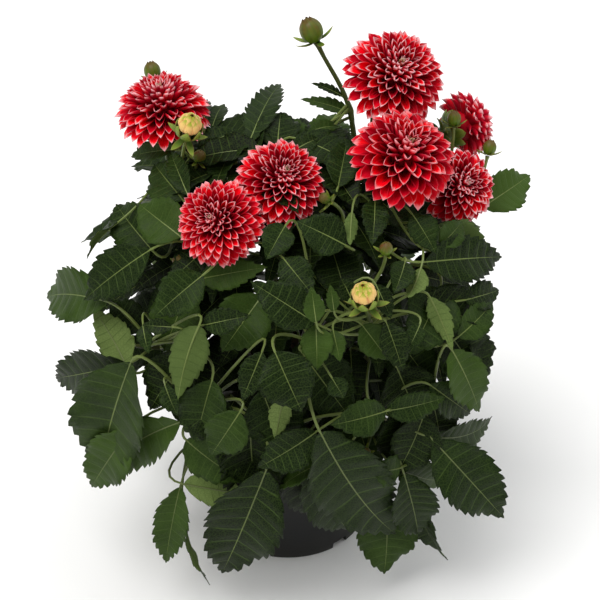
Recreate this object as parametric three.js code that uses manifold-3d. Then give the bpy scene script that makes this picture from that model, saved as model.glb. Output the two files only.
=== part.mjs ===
import * as THREE from "three";
import { mergeVertices } from "three/addons/utils/BufferGeometryUtils.js";
import Module from "manifold-3d";

const wasm = await Module();
wasm.setup();

// Driving dimensions, millimetres
const potHeight = 170;
const potTopRadius = 95;
const potBaseRadius = 78;
const potWall = 2;
const rimHeight = 11;
const notchCount = 6;
const notchWidth = 17;
const notchHeight = 7;
const notchTurn = 41;
const soilBelowRim = 15;
const stemDepth = 14;
const stemSides = 5;
const potSides = 20;
const seatGap = 0.3;
const finest = 0.004;
const cornerGap = 0.02;
const stemRadius = 3.8;
const neckRadius = 1.9;
const calyxRadius = 9;
const stalkRadius = 1.3;
const ribThickness = 1.5;
const longStalk = 60;
const petalKeel = 1.1;
const leafSway = 0.05;

// The growth is placed as a viewer 2 m away sees it, looking down: a place in the picture is [across, down]
// in a square of 600 with its middle on viewAim.
const degree = Math.PI / 180;
const viewDistance = 2000;
const viewRise = 37 * degree;
const viewAim = new THREE.Vector3(12, 0, 258);
const pictureMiddle = 300;
const pictureFocal = 2135;
const toViewer = new THREE.Vector3(0, -Math.cos(viewRise), Math.sin(viewRise));
const viewRight = new THREE.Vector3(1, 0, 0);
const viewUp = new THREE.Vector3(0, Math.sin(viewRise), Math.cos(viewRise));
const eye = viewAim.clone().addScaledVector(toViewer, viewDistance);

// Most leaves lie near this ellipsoid round the plant
const canopyMiddle = new THREE.Vector3(0, 0, 245);
const canopySize = new THREE.Vector3(218, 195, 212);

const soilTop = potHeight - soilBelowRim;

function sightLine([across, down]) {
  return toViewer.clone().negate()
    .addScaledVector(viewRight, (across - pictureMiddle) / pictureFocal)
    .addScaledVector(viewUp, (pictureMiddle - down) / pictureFocal)
    .normalize();
}

// Point on the sight line at a chosen depth y
function atDepth(place, y) {
  const line = sightLine(place);
  return eye.clone().addScaledVector(line, (y - eye.y) / line.y);
}

// Point where the sight line meets the canopy, pushed `sink` further in
function onCanopy(place, sink) {
  const line = sightLine(place);
  const start = eye.clone().sub(canopyMiddle).divide(canopySize);
  const step = line.clone().divide(canopySize);
  const a = step.dot(step);
  const b = start.dot(step);
  const c = start.dot(start) - 1;
  const reach = b * b - a * c;
  const near = reach > 0 ? (-b - Math.sqrt(reach)) / a : -b / a;
  return eye.clone().addScaledVector(line, near + sink);
}

function seededRandom(seed) {
  let state = seed;
  return () => {
    state = (state * 1664525 + 1013904223) % 4294967296;
    return state / 4294967296;
  };
}

function solidOf(geometry) {
  const bare = geometry.clone();
  bare.deleteAttribute("normal");
  bare.deleteAttribute("uv");
  const merged = mergeVertices(bare, 1e-4);
  return new wasm.Manifold(new wasm.Mesh({
    numProp: 3,
    vertProperties: new Float32Array(merged.attributes.position.array),
    triVerts: new Uint32Array(merged.index.array),
  }));
}

function solidFrom(points, triangles) {
  return new wasm.Manifold(new wasm.Mesh({
    numProp: 3,
    vertProperties: new Float32Array(points.flatMap((p) => [p.x, p.y, p.z])),
    triVerts: new Uint32Array(triangles.flat()),
  }));
}

function geometryOf(solid) {
  const { numProp, vertProperties, triVerts } = solid.getMesh();
  const geometry = new THREE.BufferGeometry();
  const count = vertProperties.length / numProp;
  const positions = new Float32Array(count * 3);
  for (let i = 0; i < count; i += 1) {
    positions.set(vertProperties.subarray(i * numProp, i * numProp + 3), i * 3);
  }
  geometry.setAttribute("position", new THREE.BufferAttribute(positions, 3));
  geometry.setIndex(Array.from(triVerts));
  return geometry;
}

// Joins solids and keeps the largest piece, without the scraps inside it
function fuse(solids) {
  const parts = wasm.Manifold.union(solids).decompose();
  return parts.sort((p, q) => q.volume() - p.volume())[0];
}

// Whether a joined solid has no sliver finer than `finest`, and no two corners in one place
function clean(solid) {
  const geometry = geometryOf(solid);
  const place = geometry.attributes.position;
  if (mergeVertices(geometry, cornerGap).attributes.position.count < place.count) return false;
  const corner = (i) => new THREE.Vector3().fromBufferAttribute(place, geometry.index.getX(i));
  for (let i = 0; i < geometry.index.count; i += 3) {
    const [a, b, c] = [corner(i), corner(i + 1), corner(i + 2)];
    const doubleArea = b.clone().sub(a).cross(c.clone().sub(a)).length();
    if (doubleArea < finest * Math.max(a.distanceTo(b), b.distanceTo(c), c.distanceTo(a))) return false;
  }
  return true;
}

// How often a closed skin of triangles winds round a point: once inside, not at all outside
function winding(triangles, point) {
  let turn = 0;
  for (const { a, b, c } of triangles) {
    const [p, q, r] = [a, b, c].map((corner) => corner.clone().sub(point));
    const [x, y, z] = [p.length(), q.length(), r.length()];
    const spread = x * y * z + p.dot(q) * z + q.dot(r) * x + r.dot(p) * y;
    turn += Math.atan2(p.dot(q.cross(r)), spread);
  }
  return turn / (2 * Math.PI);
}

// Whether a solid's walls have passed through each other, judged just behind the middle and corners of each face
function insideOut(solid) {
  const geometry = geometryOf(solid);
  const place = geometry.attributes.position;
  const corner = (i) => new THREE.Vector3().fromBufferAttribute(place, geometry.index.getX(i));
  const triangles = [];
  for (let i = 0; i < geometry.index.count; i += 3) {
    triangles.push(new THREE.Triangle(corner(i), corner(i + 1), corner(i + 2)));
  }
  return triangles.some((triangle) => {
    const middle = triangle.getMidpoint(new THREE.Vector3());
    const inward = triangle.getNormal(new THREE.Vector3()).multiplyScalar(-1e-3);
    const places = [middle, ...[triangle.a, triangle.b, triangle.c].map((end) => middle.clone().lerp(end, 0.8))];
    return places.some((point) => winding(triangles, point.add(inward)) < 0.5);
  });
}

function crosses(solid, other) {
  const a = solid.boundingBox();
  const b = other.boundingBox();
  for (let i = 0; i < 3; i += 1) {
    if (a.min[i] > b.max[i] || b.min[i] > a.max[i]) return false;
  }
  return solid.intersect(other).volume() > 1e-4;
}

// Closed tube through points, with a radius at each
function tubeSolid(points, radii, sides) {
  const vertices = [];
  const triangles = [];
  let across = new THREE.Vector3(1, 0, 0);
  points.forEach((point, i) => {
    const along = points[Math.min(i + 1, points.length - 1)].clone().sub(points[Math.max(i - 1, 0)]).normalize();
    across = across.clone().addScaledVector(along, -across.dot(along)).normalize();
    const side = along.clone().cross(across);
    for (let k = 0; k < sides; k += 1) {
      const turn = (2 * Math.PI * k) / sides;
      vertices.push(point.clone()
        .addScaledVector(across, radii[i] * Math.cos(turn))
        .addScaledVector(side, radii[i] * Math.sin(turn)));
    }
  });
  for (let i = 0; i < points.length - 1; i += 1) {
    for (let k = 0; k < sides; k += 1) {
      const next = (k + 1) % sides;
      const a = i * sides + k;
      const b = i * sides + next;
      triangles.push([a, b, b + sides], [a, b + sides, a + sides]);
    }
  }
  const last = (points.length - 1) * sides;
  for (let k = 1; k < sides - 1; k += 1) {
    triangles.push([0, k + 1, k], [last, last + k, last + k + 1]);
  }
  return solidFrom(vertices, triangles);
}

// Half width of a leaf blade, 0 at its base and tip and 1 where it is widest
function bladeShape(t) {
  const peak = 0.38 ** 0.65 * 0.62 ** 1.06;
  return (t ** 0.65 * (1 - t) ** 1.06) / peak;
}

// Points along one edge: [how far along, half width], a long flank and a short step at each tooth
function bladeEdge(teeth) {
  const edge = [];
  for (let k = 0; k < teeth; k += 1) {
    const t = 0.18 + (0.68 * k) / (teeth - 1);
    edge.push([t, bladeShape(t)], [t + 0.035, 0.8 * bladeShape(t + 0.035)]);
  }
  return edge;
}

// Frame of a leaf: its stalk and blade as curves, with the way across
function leafFrame(leaf) {
  const chord = leaf.tip.clone().sub(leaf.base);
  const length = chord.length();
  const across = chord.clone().cross(leaf.facing).normalize();
  const up = across.clone().cross(chord).normalize();
  const middle = leaf.base.clone().add(leaf.tip).multiplyScalar(0.5)
    .addScaledVector(up, leaf.arch * length)
    .addScaledVector(across, leaf.bend * length);
  const blade = new THREE.QuadraticBezierCurve3(leaf.base, middle, leaf.tip);
  const start = middle.clone().sub(leaf.base).normalize();
  const reach = leaf.root.distanceTo(leaf.base);
  const stalk = new THREE.QuadraticBezierCurve3(
    leaf.root, leaf.base.clone().addScaledVector(start, -0.4 * reach), leaf.base);
  return { across, blade, stalk };
}

// A toothed leaf with its stalk, as one closed solid: thick along the rib and sharp at its edge
function leafSolid(leaf) {
  const { across, blade, stalk } = leafFrame(leaf);
  const points = [];
  const triangles = [];
  const section = (curve, t) => {
    const along = curve.getTangent(t);
    const side = across.clone().addScaledVector(along, -across.dot(along)).normalize();
    return { place: curve.getPoint(t), side, up: side.clone().cross(along) };
  };
  const ribPoint = (t, { place, up }, thickness) => {
    points.push(place.clone().addScaledVector(up, thickness / 2));
    points.push(place.clone().addScaledVector(up, -thickness / 2));
    return { t, top: points.length - 2, low: points.length - 1 };
  };
  const edgePoint = (t, place) => {
    points.push(place);
    return { t, top: points.length - 1, low: points.length - 1 };
  };
  const rib = [];
  const edges = [[], []];
  const hands = [-1, 1];
  const stalkSteps = leaf.root.distanceTo(leaf.base) > longStalk ? [0, 0.55] : [0];
  for (const t of stalkSteps) {
    const here = section(stalk, t);
    rib.push(ribPoint(t - 1, here, 2 * stalkRadius));
    hands.forEach((hand, k) => {
      edges[k].push(edgePoint(t - 1, here.place.clone().addScaledVector(here.side, hand * stalkRadius)));
    });
  }
  const root = section(blade, 0);
  hands.forEach((hand, k) => {
    edges[k].push(edgePoint(0, root.place.clone().addScaledVector(root.side, hand * stalkRadius)));
  });
  for (const t of [0, 0.42]) rib.push(ribPoint(t, section(blade, t), ribThickness * (1.2 - t)));
  for (const [t, wide] of bladeEdge(leaf.teeth)) {
    const here = section(blade, t);
    hands.forEach((hand, k) => {
      const half = (wide * leaf.width) / 2;
      const sway = leafSway * leaf.width * Math.sin(9 * t + 2 * k + leaf.width);
      edges[k].push(edgePoint(t, here.place.clone()
        .addScaledVector(here.side, hand * half * Math.cos(leaf.fold))
        .addScaledVector(here.up, half * Math.sin(leaf.fold) + sway)));
    });
  }
  const tip = edgePoint(1, blade.getPoint(1));
  rib.push(tip);
  edges[0].push(tip);
  edges[1].push(tip);
  const face = (p, q, r) => {
    if (p === q || q === r || p === r) return;
    triangles.push([p.top, q.top, r.top], [p.low, r.low, q.low]);
  };
  edges.forEach((edge, k) => {
    let i = 0;
    let j = 0;
    while (i < rib.length - 1 || j < edge.length - 1) {
      const ribNext = j === edge.length - 1 || (i < rib.length - 1 && rib[i + 1].t <= edge[j + 1].t);
      const next = ribNext ? rib[i + 1] : edge[j + 1];
      if (k === 1) face(rib[i], edge[j], next);
      else face(rib[i], next, edge[j]);
      if (ribNext) i += 1;
      else j += 1;
    }
    const [low, top] = k === 1 ? [rib[0].low, rib[0].top] : [rib[0].top, rib[0].low];
    triangles.push([edge[0].top, top, low]);
  });
  return solidFrom(points, triangles);
}

// Sections of a petal: [how far along, share of its width]
const petalSections = [[0, 0.2], [0.62, 1]];

// One boat-shaped petal: a sharp edge round a keel, in the bloom's own frame with its axis up
function petalSolid(petal) {
  const { turn, from, to, bow, width, cup } = petal;
  const out = new THREE.Vector3(Math.cos(turn), Math.sin(turn), 0);
  const side = new THREE.Vector3(-out.y, out.x, 0);
  const up = new THREE.Vector3(0, 0, 1);
  const place = (r, z) => out.clone().multiplyScalar(r).addScaledVector(up, z);
  const middle = [(from[0] + to[0]) / 2 + bow[0], (from[1] + to[1]) / 2 + bow[1]];
  const curve = new THREE.QuadraticBezierCurve3(place(...from), place(...middle), place(...to));
  const points = [];
  const triangles = [];
  for (const [t, share] of petalSections) {
    const along = curve.getTangent(t);
    const inner = along.clone().cross(side);
    const centre = curve.getPoint(t);
    const half = (share * width) / 2;
    const lift = cup * half;
    points.push(centre.clone().addScaledVector(side, half).addScaledVector(inner, lift));
    points.push(centre.clone().addScaledVector(inner, petalKeel / 2));
    points.push(centre.clone().addScaledVector(side, -half).addScaledVector(inner, lift));
    points.push(centre.clone().addScaledVector(inner, -petalKeel / 2));
  }
  points.push(curve.getPoint(1));
  const tip = points.length - 1;
  for (let i = 0; i < petalSections.length; i += 1) {
    const last = i === petalSections.length - 1;
    for (let k = 0; k < 4; k += 1) {
      const a = 4 * i + k;
      const b = 4 * i + ((k + 1) % 4);
      if (last) triangles.push([a, b, tip]);
      else triangles.push([a, b, b + 4], [a, b + 4, a + 4]);
    }
  }
  triangles.push([0, 3, 1], [1, 3, 2]);
  return solidFrom(points, triangles);
}

// Rows of a bloom of radius 1, from the outside in: how far each petal leans from the axis, how far it reaches,
// how it curves and how wide it is. The outermost row leans back past level.
const petalRings = [
  { count: 8, lean: 99, reach: 1, bow: 0.09, width: 0.45, cup: 0.12 },
  { count: 7, lean: 77, reach: 0.98, bow: 0.04, width: 0.46, cup: 0.3 },
  { count: 6, lean: 55, reach: 0.95, bow: -0.04, width: 0.46, cup: 0.4 },
  { count: 4, lean: 33, reach: 0.88, bow: -0.07, width: 0.4, cup: 0.5 },
  { count: 3, lean: 13, reach: 0.8, bow: -0.04, width: 0.24, cup: 0.5 },
];
const coreShare = 0.5;
const petalRoot = 0.34;

// Joins the petals by the first draw that leaves no sliver
function bloomSolid(radius, seed) {
  const bloom = drawnBloom(radius, seed);
  return clean(bloom) ? bloom : bloomSolid(radius, seed + 1);
}

function drawnBloom(radius, seed) {
  const random = seededRandom(seed);
  const core = new THREE.SphereGeometry(coreShare * radius, 6, 3).rotateX(Math.PI / 2);
  const solids = [solidOf(core)];
  petalRings.forEach((ring, row) => {
    const start = row * 0.9 + random();
    for (let k = 0; k < ring.count; k += 1) {
      const lean = (ring.lean + 4 * (random() - 0.5)) * degree;
      const along = [Math.sin(lean), Math.cos(lean)];
      const reach = ring.reach * (0.96 + 0.06 * random());
      solids.push(petalSolid({
        turn: start + (2 * Math.PI * k) / ring.count,
        from: along.map((v) => v * petalRoot * radius),
        to: along.map((v) => v * reach * radius),
        bow: [-along[1] * ring.bow * radius, along[0] * ring.bow * radius],
        width: ring.width * radius,
        cup: ring.cup,
      }));
    }
  });
  return fuse(solids);
}

// Stems. foot: where it stands in the soil. via and place: [across, down] in the picture, with the depth y beside.
// faces: which way a head looks, as [across, up, toward the viewer].
const blooms = [
  { name: "1", foot: [-32, 10], via: [[196, 262], 10], place: [163, 110], depth: 20, radius: 42, faces: [-0.05, 0.8, 0.6] },
  { name: "2", foot: [-4, -10], via: [[278, 300], -30], place: [281, 182], depth: -55, radius: 40, faces: [0.22, 0.42, 0.88] },
  { name: "3", foot: [-26, -14], via: [[234, 320], -45], place: [219, 222], depth: -92, radius: 38, faces: [-0.3, 0.16, 0.94] },
  { name: "4", foot: [20, 22], via: [[366, 240], 40], place: [394, 76], depth: 34, radius: 45, faces: [0.26, 0.4, 0.88] },
  { name: "5", foot: [26, -8], via: [[372, 290], -10], place: [403, 157], depth: -45, radius: 46, faces: [0.25, 0.5, 0.83] },
  { name: "6", foot: [50, 4], via: [[428, 280], 10], place: [458, 186], depth: -8, radius: 35, faces: [0.4, 0.1, 0.91] },
  { name: "7", foot: [34, 38], via: [[410, 210], 80], place: [466, 124], depth: 66, radius: 31, faces: [0.86, 0.36, -0.36] },
];

// A bud is a swelling: rings as [how far along, radius] in bud radii
const budRings = [[-0.9, 0.3], [-0.35, 0.86], [0.45, 1], [1.3, 0.62], [1.75, 0.12]];
const tallBud = {
  name: "tall", foot: [6, 10], via: [[352, 190], 50], second: [[349, 108], 56], place: [311, 30], depth: 60,
  radius: 11, faces: [-0.4, 0.8, 0.5],
};
const openingBuds = [
  { name: "front", foot: [32, -30], via: [[372, 350], -95], place: [364, 293], depth: -150, radius: 11, faces: [-0.1, 0.5, 0.85] },
];

// Leafy shoots with no head, which end just inside the canopy
const shoots = [
  { name: "front", foot: [4, -42], place: [316, 330], sink: 30 },
  { name: "front_left", foot: [-30, -42], place: [192, 412], sink: 34 },
  { name: "front_right", foot: [44, -26], place: [384, 418], sink: 34 },
  { name: "left", foot: [-54, -6], place: [138, 346], sink: 34 },
  { name: "right", foot: [60, -14], place: [436, 400], sink: 36 },
  { name: "back_left", foot: [-34, 44], end: [-104, 92, 318] },
  { name: "back", foot: [-4, 58], end: [-6, 138, 330] },
  { name: "back_right", foot: [26, 60], end: [98, 104, 312] },
];

// Small buds on side stalks: the stem that carries each, and where on it the stalk starts
const sideBuds = [
  { on: "bloom_1", start: 0.78, place: [153, 74], depth: 78, radius: 8, faces: [-0.2, 0.9, 0.3] },
  { on: "bloom_1", start: 0.72, place: [199, 158], depth: -20, radius: 6, faces: [0.2, 0.5, 0.8] },
  { on: "bloom_3", start: 0.6, place: [230, 164], depth: -8, radius: 7, faces: [0.1, 0.7, 0.6] },
  { on: "bloom_6", start: 0.72, place: [454, 121], depth: 34, radius: 6.5, faces: [0, 0.9, 0.4] },
  { on: "bloom_6", start: 0.7, place: [489, 150], depth: 30, radius: 6.5, faces: [0.2, 0.9, 0.3] },
  { on: "front", start: 0.8, place: [386, 250], depth: -120, radius: 6, faces: [0, 0.5, 0.8] },
  { on: "bloom_2", start: 0.6, place: [326, 199], depth: -80, radius: 5, faces: [-0.6, 0.3, 0.7] },
  { on: "bloom_3", start: 0.5, place: [180, 262], depth: -80, radius: 6, faces: [-0.3, 0.5, 0.8] },
  { on: "front_right", start: 0.8, place: [365, 453], depth: -140, radius: 5.5, faces: [0, 0.2, 0.9] },
];
const openingSideBuds = [
  { name: "left", on: "bloom_1", start: 0.75, place: [190, 124], depth: -40, radius: 10, faces: [0.2, 0.5, 0.84] },
];

// Leaves: base and tip in the picture, width there, and how far each end lies inside the canopy. back shows the paler
// underside to the viewer, and roll turns the blade about its length.
const leaves = [
  { from: [131, 362], to: [102, 469], wide: 84, sink: [8, 0], teeth: 4, arch: 0.1 },
  { from: [266, 470], to: [222, 573], wide: 76, sink: [6, 0], teeth: 4, arch: 0.12 },
  { from: [320, 432], to: [396, 534], wide: 76, sink: [2, 0], teeth: 4, arch: 0.1, bend: 0.05 },
  { from: [275, 352], to: [302, 412], wide: 54, sink: [4, -4], teeth: 3 },
  { from: [316, 323], to: [250, 281], wide: 42, sink: [6, -4], teeth: 3 },
  { from: [316, 325], to: [317, 370], wide: 31, sink: [4, -2] },
  { from: [316, 322], to: [311, 286], wide: 20, sink: [6, -2] },
  { from: [333, 330], to: [340, 362], wide: 18, sink: [10, 4] },
  { from: [199, 326], to: [178, 400], wide: 38, sink: [10, -4], back: true, teeth: 3, bend: -0.1 },
  { from: [203, 275], to: [154, 317], wide: 42, sink: [14, 4], teeth: 3 },
  { from: [127, 364], to: [56, 378], wide: 50, sink: [14, 0], teeth: 3 },
  { from: [108, 302], to: [47, 298], wide: 54, sink: [16, 0], teeth: 3, bend: 0.08 },
  { from: [150, 250], to: [84, 300], wide: 46, sink: [20, 4], teeth: 3 },
  { from: [126, 366], to: [93, 308], wide: 40, sink: [18, 10], back: true, teeth: 3 },
  { from: [180, 422], to: [114, 474], wide: 52, sink: [14, 12], teeth: 3, bend: 0.14 },
  { from: [184, 484], to: [250, 495], wide: 40, sink: [12, 2], back: true, teeth: 3, bend: -0.08 },
  { from: [180, 487], to: [166, 563], wide: 38, sink: [14, 6], teeth: 3 },
  { from: [182, 500], to: [210, 585], wide: 42, sink: [8, 2], roll: 68, teeth: 3 },
  { from: [186, 440], to: [245, 482], wide: 44, sink: [26, 18], teeth: 3 },
  { from: [130, 430], to: [92, 487], wide: 50, sink: [30, 22], teeth: 3 },
  { from: [240, 412], to: [211, 455], wide: 42, sink: [14, 8], teeth: 3 },
  { from: [316, 432], to: [257, 468], wide: 42, sink: [12, 4], teeth: 3 },
  { from: [283, 400], to: [275, 440], wide: 22, sink: [16, 10], back: true },
  { from: [305, 470], to: [350, 530], wide: 46, sink: [24, 20], teeth: 3 },
  { from: [325, 462], to: [276, 492], wide: 26, sink: [2, -2], roll: 70 },
  { from: [386, 411], to: [330, 425], wide: 36, sink: [16, 10], teeth: 3 },
  { from: [386, 411], to: [446, 397], wide: 30, sink: [16, 8], teeth: 3 },
  { from: [400, 468], to: [371, 471], wide: 34, sink: [12, 8] },
  { from: [404, 474], to: [418, 534], wide: 50, sink: [10, 4], teeth: 3 },
  { from: [400, 470], to: [442, 479], wide: 42, sink: [14, 8], teeth: 3 },
  { from: [410, 484], to: [448, 560], wide: 40, sink: [16, 10], roll: 62, teeth: 3 },
  { from: [387, 500], to: [384, 574], wide: 62, sink: [14, 6], teeth: 3 },
  { from: [434, 441], to: [504, 518], wide: 60, sink: [8, 0], teeth: 4 },
  { from: [432, 437], to: [492, 416], wide: 32, sink: [10, 4], teeth: 3, bend: 0.1 },
  { from: [430, 385], to: [470, 414], wide: 36, sink: [20, 14], teeth: 3 },
  { from: [452, 350], to: [479, 412], wide: 42, sink: [10, 0], teeth: 3 },
  { from: [470, 340], to: [490, 366], wide: 30, sink: [22, 16] },
  { from: [458, 337], to: [493, 302], wide: 32, sink: [16, 8], teeth: 3 },
  { from: [430, 297], to: [453, 350], wide: 22, sink: [10, 4], back: true, roll: 30 },
  { from: [440, 290], to: [408, 356], wide: 58, sink: [40, 30], teeth: 3 },
  { from: [465, 300], to: [499, 290], wide: 29, sink: [20, 12] },
  { from: [425, 262], to: [502, 257], wide: 46, sink: [14, 2], teeth: 3 },
  { from: [436, 226], to: [494, 256], wide: 34, sink: [12, 8], back: true, roll: 45, teeth: 3 },
  { from: [405, 262], to: [394, 294], wide: 27, sink: [10, 4] },
  { from: [421, 268], to: [408, 298], wide: 22, sink: [8, 4], back: true, roll: 40 },
  { from: [376, 285], to: [391, 319], wide: 20, sink: [14, 10] },
  { from: [386, 322], to: [403, 372], wide: 30, sink: [12, 4], teeth: 3 },
  { from: [362, 325], to: [388, 360], wide: 32, sink: [16, 12], teeth: 3 },
  { from: [332, 378], to: [344, 398], wide: 21, sink: [12, 8] },
  { from: [352, 300], to: [341, 278], wide: 20, sink: [18, 14] },
  { from: [375, 200], to: [372, 246], wide: 27, sink: [10, 2], teeth: 3 },
  { from: [345, 245], to: [296, 221], wide: 40, sink: [14, 8], teeth: 3 },
  { from: [283, 258], to: [315, 298], wide: 31, sink: [8, 0], teeth: 3 },
  { from: [285, 226], to: [266, 260], wide: 31, sink: [10, 4], teeth: 3 },
  { from: [352, 212], to: [350, 246], wide: 14, sink: [14, 8], back: true },
  { from: [412, 214], to: [436, 254], wide: 30, sink: [16, 12], teeth: 3 },
  { from: [200, 279], to: [268, 267], wide: 31, sink: [14, 10], teeth: 3 },
  { from: [204, 325], to: [251, 315], wide: 26, sink: [18, 14] },
  { from: [262, 352], to: [242, 401], wide: 27, sink: [14, 8], teeth: 3 },
  { from: [140, 330], to: [112, 300], wide: 40, sink: [40, 34], teeth: 3 },
  { from: [152, 250], to: [116, 204], wide: 46, sink: [34, 26], teeth: 3 },
  { from: [181, 237], to: [139, 204], wide: 46, sink: [22, 12], teeth: 3 },
  { from: [183, 200], to: [154, 164], wide: 44, sink: [16, 10], teeth: 3 },
  { from: [188, 195], to: [170, 150], wide: 23, sink: [10, 4] },
  { from: [118, 222], to: [87, 259], wide: 30, sink: [14, 8], roll: 66 },
  { from: [176, 150], to: [131, 157], wide: 25, sink: [8, 2], teeth: 3 },
  { from: [200, 150], to: [238, 130], wide: 28, sink: [14, 14], teeth: 3 },
  { from: [249, 143], to: [281, 84], wide: 33, sink: [20, 20], teeth: 3 },
  { from: [277, 150], to: [281, 112], wide: 42, sink: [36, 36], teeth: 3 },
  { from: [308, 134], to: [342, 128], wide: 16, sink: [26, 26], bend: -0.16 },
  { from: [338, 187], to: [347, 140], wide: 34, sink: [20, 20], teeth: 3 },
  { from: [212, 128], to: [224, 104], wide: 22, sink: [30, 30] },
  { from: [483, 207], to: [530, 175], wide: 42, sink: [30, 30], teeth: 3 },
];

// Larger leaves in the shade behind those
const innerLeaves = [
  { from: [300, 350], to: [352, 420], wide: 58, sink: [46, 40] },
  { from: [262, 296], to: [222, 352], wide: 54, sink: [48, 44] },
  { from: [330, 268], to: [372, 332], wide: 52, sink: [46, 44] },
  { from: [262, 390], to: [290, 456], wide: 56, sink: [46, 40] },
  { from: [350, 400], to: [372, 472], wide: 58, sink: [44, 38] },
  { from: [390, 330], to: [432, 386], wide: 52, sink: [46, 40] },
  { from: [212, 380], to: [196, 442], wide: 50, sink: [44, 38] },
  { from: [332, 200], to: [300, 252], wide: 48, sink: [50, 46] },
  { from: [190, 290], to: [164, 352], wide: 52, sink: [50, 44] },
];

// Leaves on the tall bud's stem, which stands free above the canopy
const tallLeaves = [
  { from: [350, 113], to: [300, 99], wide: 17, depth: [56, 62], teeth: 3 },
  { from: [342, 96], to: [311, 83], wide: 11, depth: [57, 62], teeth: 3 },
];

// The sides and back that the picture doesn't show: rows as [height, how many, length, width]
const backRows = [[125, 6, 88, 62], [210, 6, 94, 62], [295, 6, 88, 56], [370, 4, 76, 48], [415, 4, 64, 40], [445, 3, 60, 38]];
const backHalfTurn = 80 * degree;
const depthShifts = [0, 8, -8, 16, 26, -15, 38, 52];
const rootShifts = [0, -0.1, 0.1, -0.05, 0.05, -0.15, -0.2];

const groups = [];
const meshes = new THREE.Group();
meshes.name = "potted_dahlia";
const plastic = new THREE.MeshStandardMaterial({ color: 0x2a2a2c, roughness: 0.5, metalness: 0 });
const earth = new THREE.MeshStandardMaterial({ color: 0x2b1d14, roughness: 1, metalness: 0 });
const foliage = new THREE.MeshStandardMaterial({ color: 0x3d5a22, roughness: 0.6, metalness: 0 });
const redPetal = new THREE.MeshStandardMaterial({ color: 0xa01422, roughness: 0.55, metalness: 0 });
const peachPetal = new THREE.MeshStandardMaterial({ color: 0xc9a467, roughness: 0.6, metalness: 0 });

// Direction given as [across, up, toward the viewer]
function direction([across, up, near]) {
  return new THREE.Vector3()
    .addScaledVector(viewRight, across)
    .addScaledVector(viewUp, up)
    .addScaledVector(toViewer, near)
    .normalize();
}

function stemCurve(foot, through) {
  const rise = new THREE.Vector3(foot[0], foot[1], soilTop + 14);
  return new THREE.CatmullRomCurve3([rise, ...through], false, "centripetal");
}

// A stem from its hole in the soil along a curve, then rings [how far past the end, radius] along the head's axis
function stemSolid(foot, curve, axis, rings) {
  const points = [new THREE.Vector3(foot[0], foot[1], soilTop - stemDepth)];
  const radii = [stemRadius];
  const steps = 5;
  const end = curve.getPoint(1);
  const shares = Array.from({ length: steps }, (_, k) => k / steps);
  for (const share of shares) {
    points.push(curve.getPointAt(share));
    radii.push(stemRadius + (neckRadius - stemRadius) * share);
  }
  for (const [past, radius] of rings) {
    points.push(end.clone().addScaledVector(axis, past));
    radii.push(radius);
  }
  return tubeSolid(points, radii, stemSides);
}

function addGroup(name, material, solid, extra) {
  const group = { name, material, solids: [solid], whole: solid, ...extra };
  groups.push(group);
  return group;
}

// The group's solids with one more, or null where they would be loose or leave a sliver
function joined(group, solid) {
  const whole = group.whole.add(solid);
  return clean(whole) && whole.decompose().length === 1 ? whole : null;
}

function join(group, solid, whole) {
  group.solids.push(solid);
  group.whole = whole;
}

function blocked(solid, owner) {
  return groups.some((group) => group !== owner && group.solids.some((other) => crosses(solid, other)));
}

// The pot: one thin wall with a rolled rim, and drain slots cut through its base edge
function potSolid() {
  const rimLow = potHeight - rimHeight;
  const slope = (potTopRadius - 4 - potBaseRadius) / rimLow;
  const outline = [
    [0, 0], [potBaseRadius, 0], [potTopRadius - 4, rimLow], [potTopRadius, rimLow + 2], [potTopRadius, potHeight],
    [potTopRadius - 2, potHeight], [potTopRadius - 3, rimLow + 3], [potTopRadius - 4 - potWall, rimLow - 1],
    [potBaseRadius + slope * potWall - potWall, potWall], [0, potWall],
  ].map(([r, z]) => new THREE.Vector2(r, z));
  let solid = solidOf(new THREE.LatheGeometry(outline, potSides).rotateX(Math.PI / 2));
  for (let k = 0; k < notchCount; k += 1) {
    const slot = new THREE.BoxGeometry(notchWidth, 24, 2 * notchHeight);
    slot.translate(0, -potBaseRadius, 0);
    slot.rotateZ((notchTurn + (360 / notchCount) * k) * degree);
    solid = solid.subtract(solidOf(slot));
  }
  return solid;
}

// Soil with an uneven top and a plain hole for each stem
function soilSolid(feet) {
  const slope = (potTopRadius - 4 - potBaseRadius) / (potHeight - rimHeight);
  const inside = (z) => potBaseRadius + slope * z - potWall - seatGap - 0.3;
  const low = potWall + seatGap;
  const outline = [
    [0, low], [inside(low), low], [inside(soilTop), soilTop], [56, soilTop], [0, soilTop],
  ].map(([r, z]) => new THREE.Vector2(r, z));
  const geometry = new THREE.LatheGeometry(outline, potSides).rotateX(Math.PI / 2);
  const place = geometry.attributes.position;
  for (let i = 0; i < place.count; i += 1) {
    if (place.getZ(i) < soilTop - 1) continue;
    const x = place.getX(i);
    const y = place.getY(i);
    place.setZ(i, soilTop + 1.6 * Math.sin(x / 11 + 1) * Math.cos(y / 9) + Math.sin(x / 5 + y / 7));
  }
  let solid = solidOf(geometry);
  for (const [x, y] of feet) {
    const hole = new THREE.CylinderGeometry(1, 1, 2 * stemDepth, stemSides).rotateX(Math.PI / 2);
    const radius = (stemRadius + seatGap) / Math.cos(Math.PI / stemSides);
    hole.scale(radius, radius, 1);
    hole.translate(x, y, soilTop - seatGap);
    solid = solid.subtract(solidOf(hole));
  }
  return solid;
}

const calyxRings = [[-11, neckRadius + 0.6], [-5, calyxRadius * 0.85], [0, calyxRadius]];
const feet = [...blooms, tallBud, ...openingBuds, ...shoots].map((stem) => stem.foot);
addGroup("pot", plastic, potSolid());
addGroup("soil", earth, soilSolid(feet));

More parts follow.
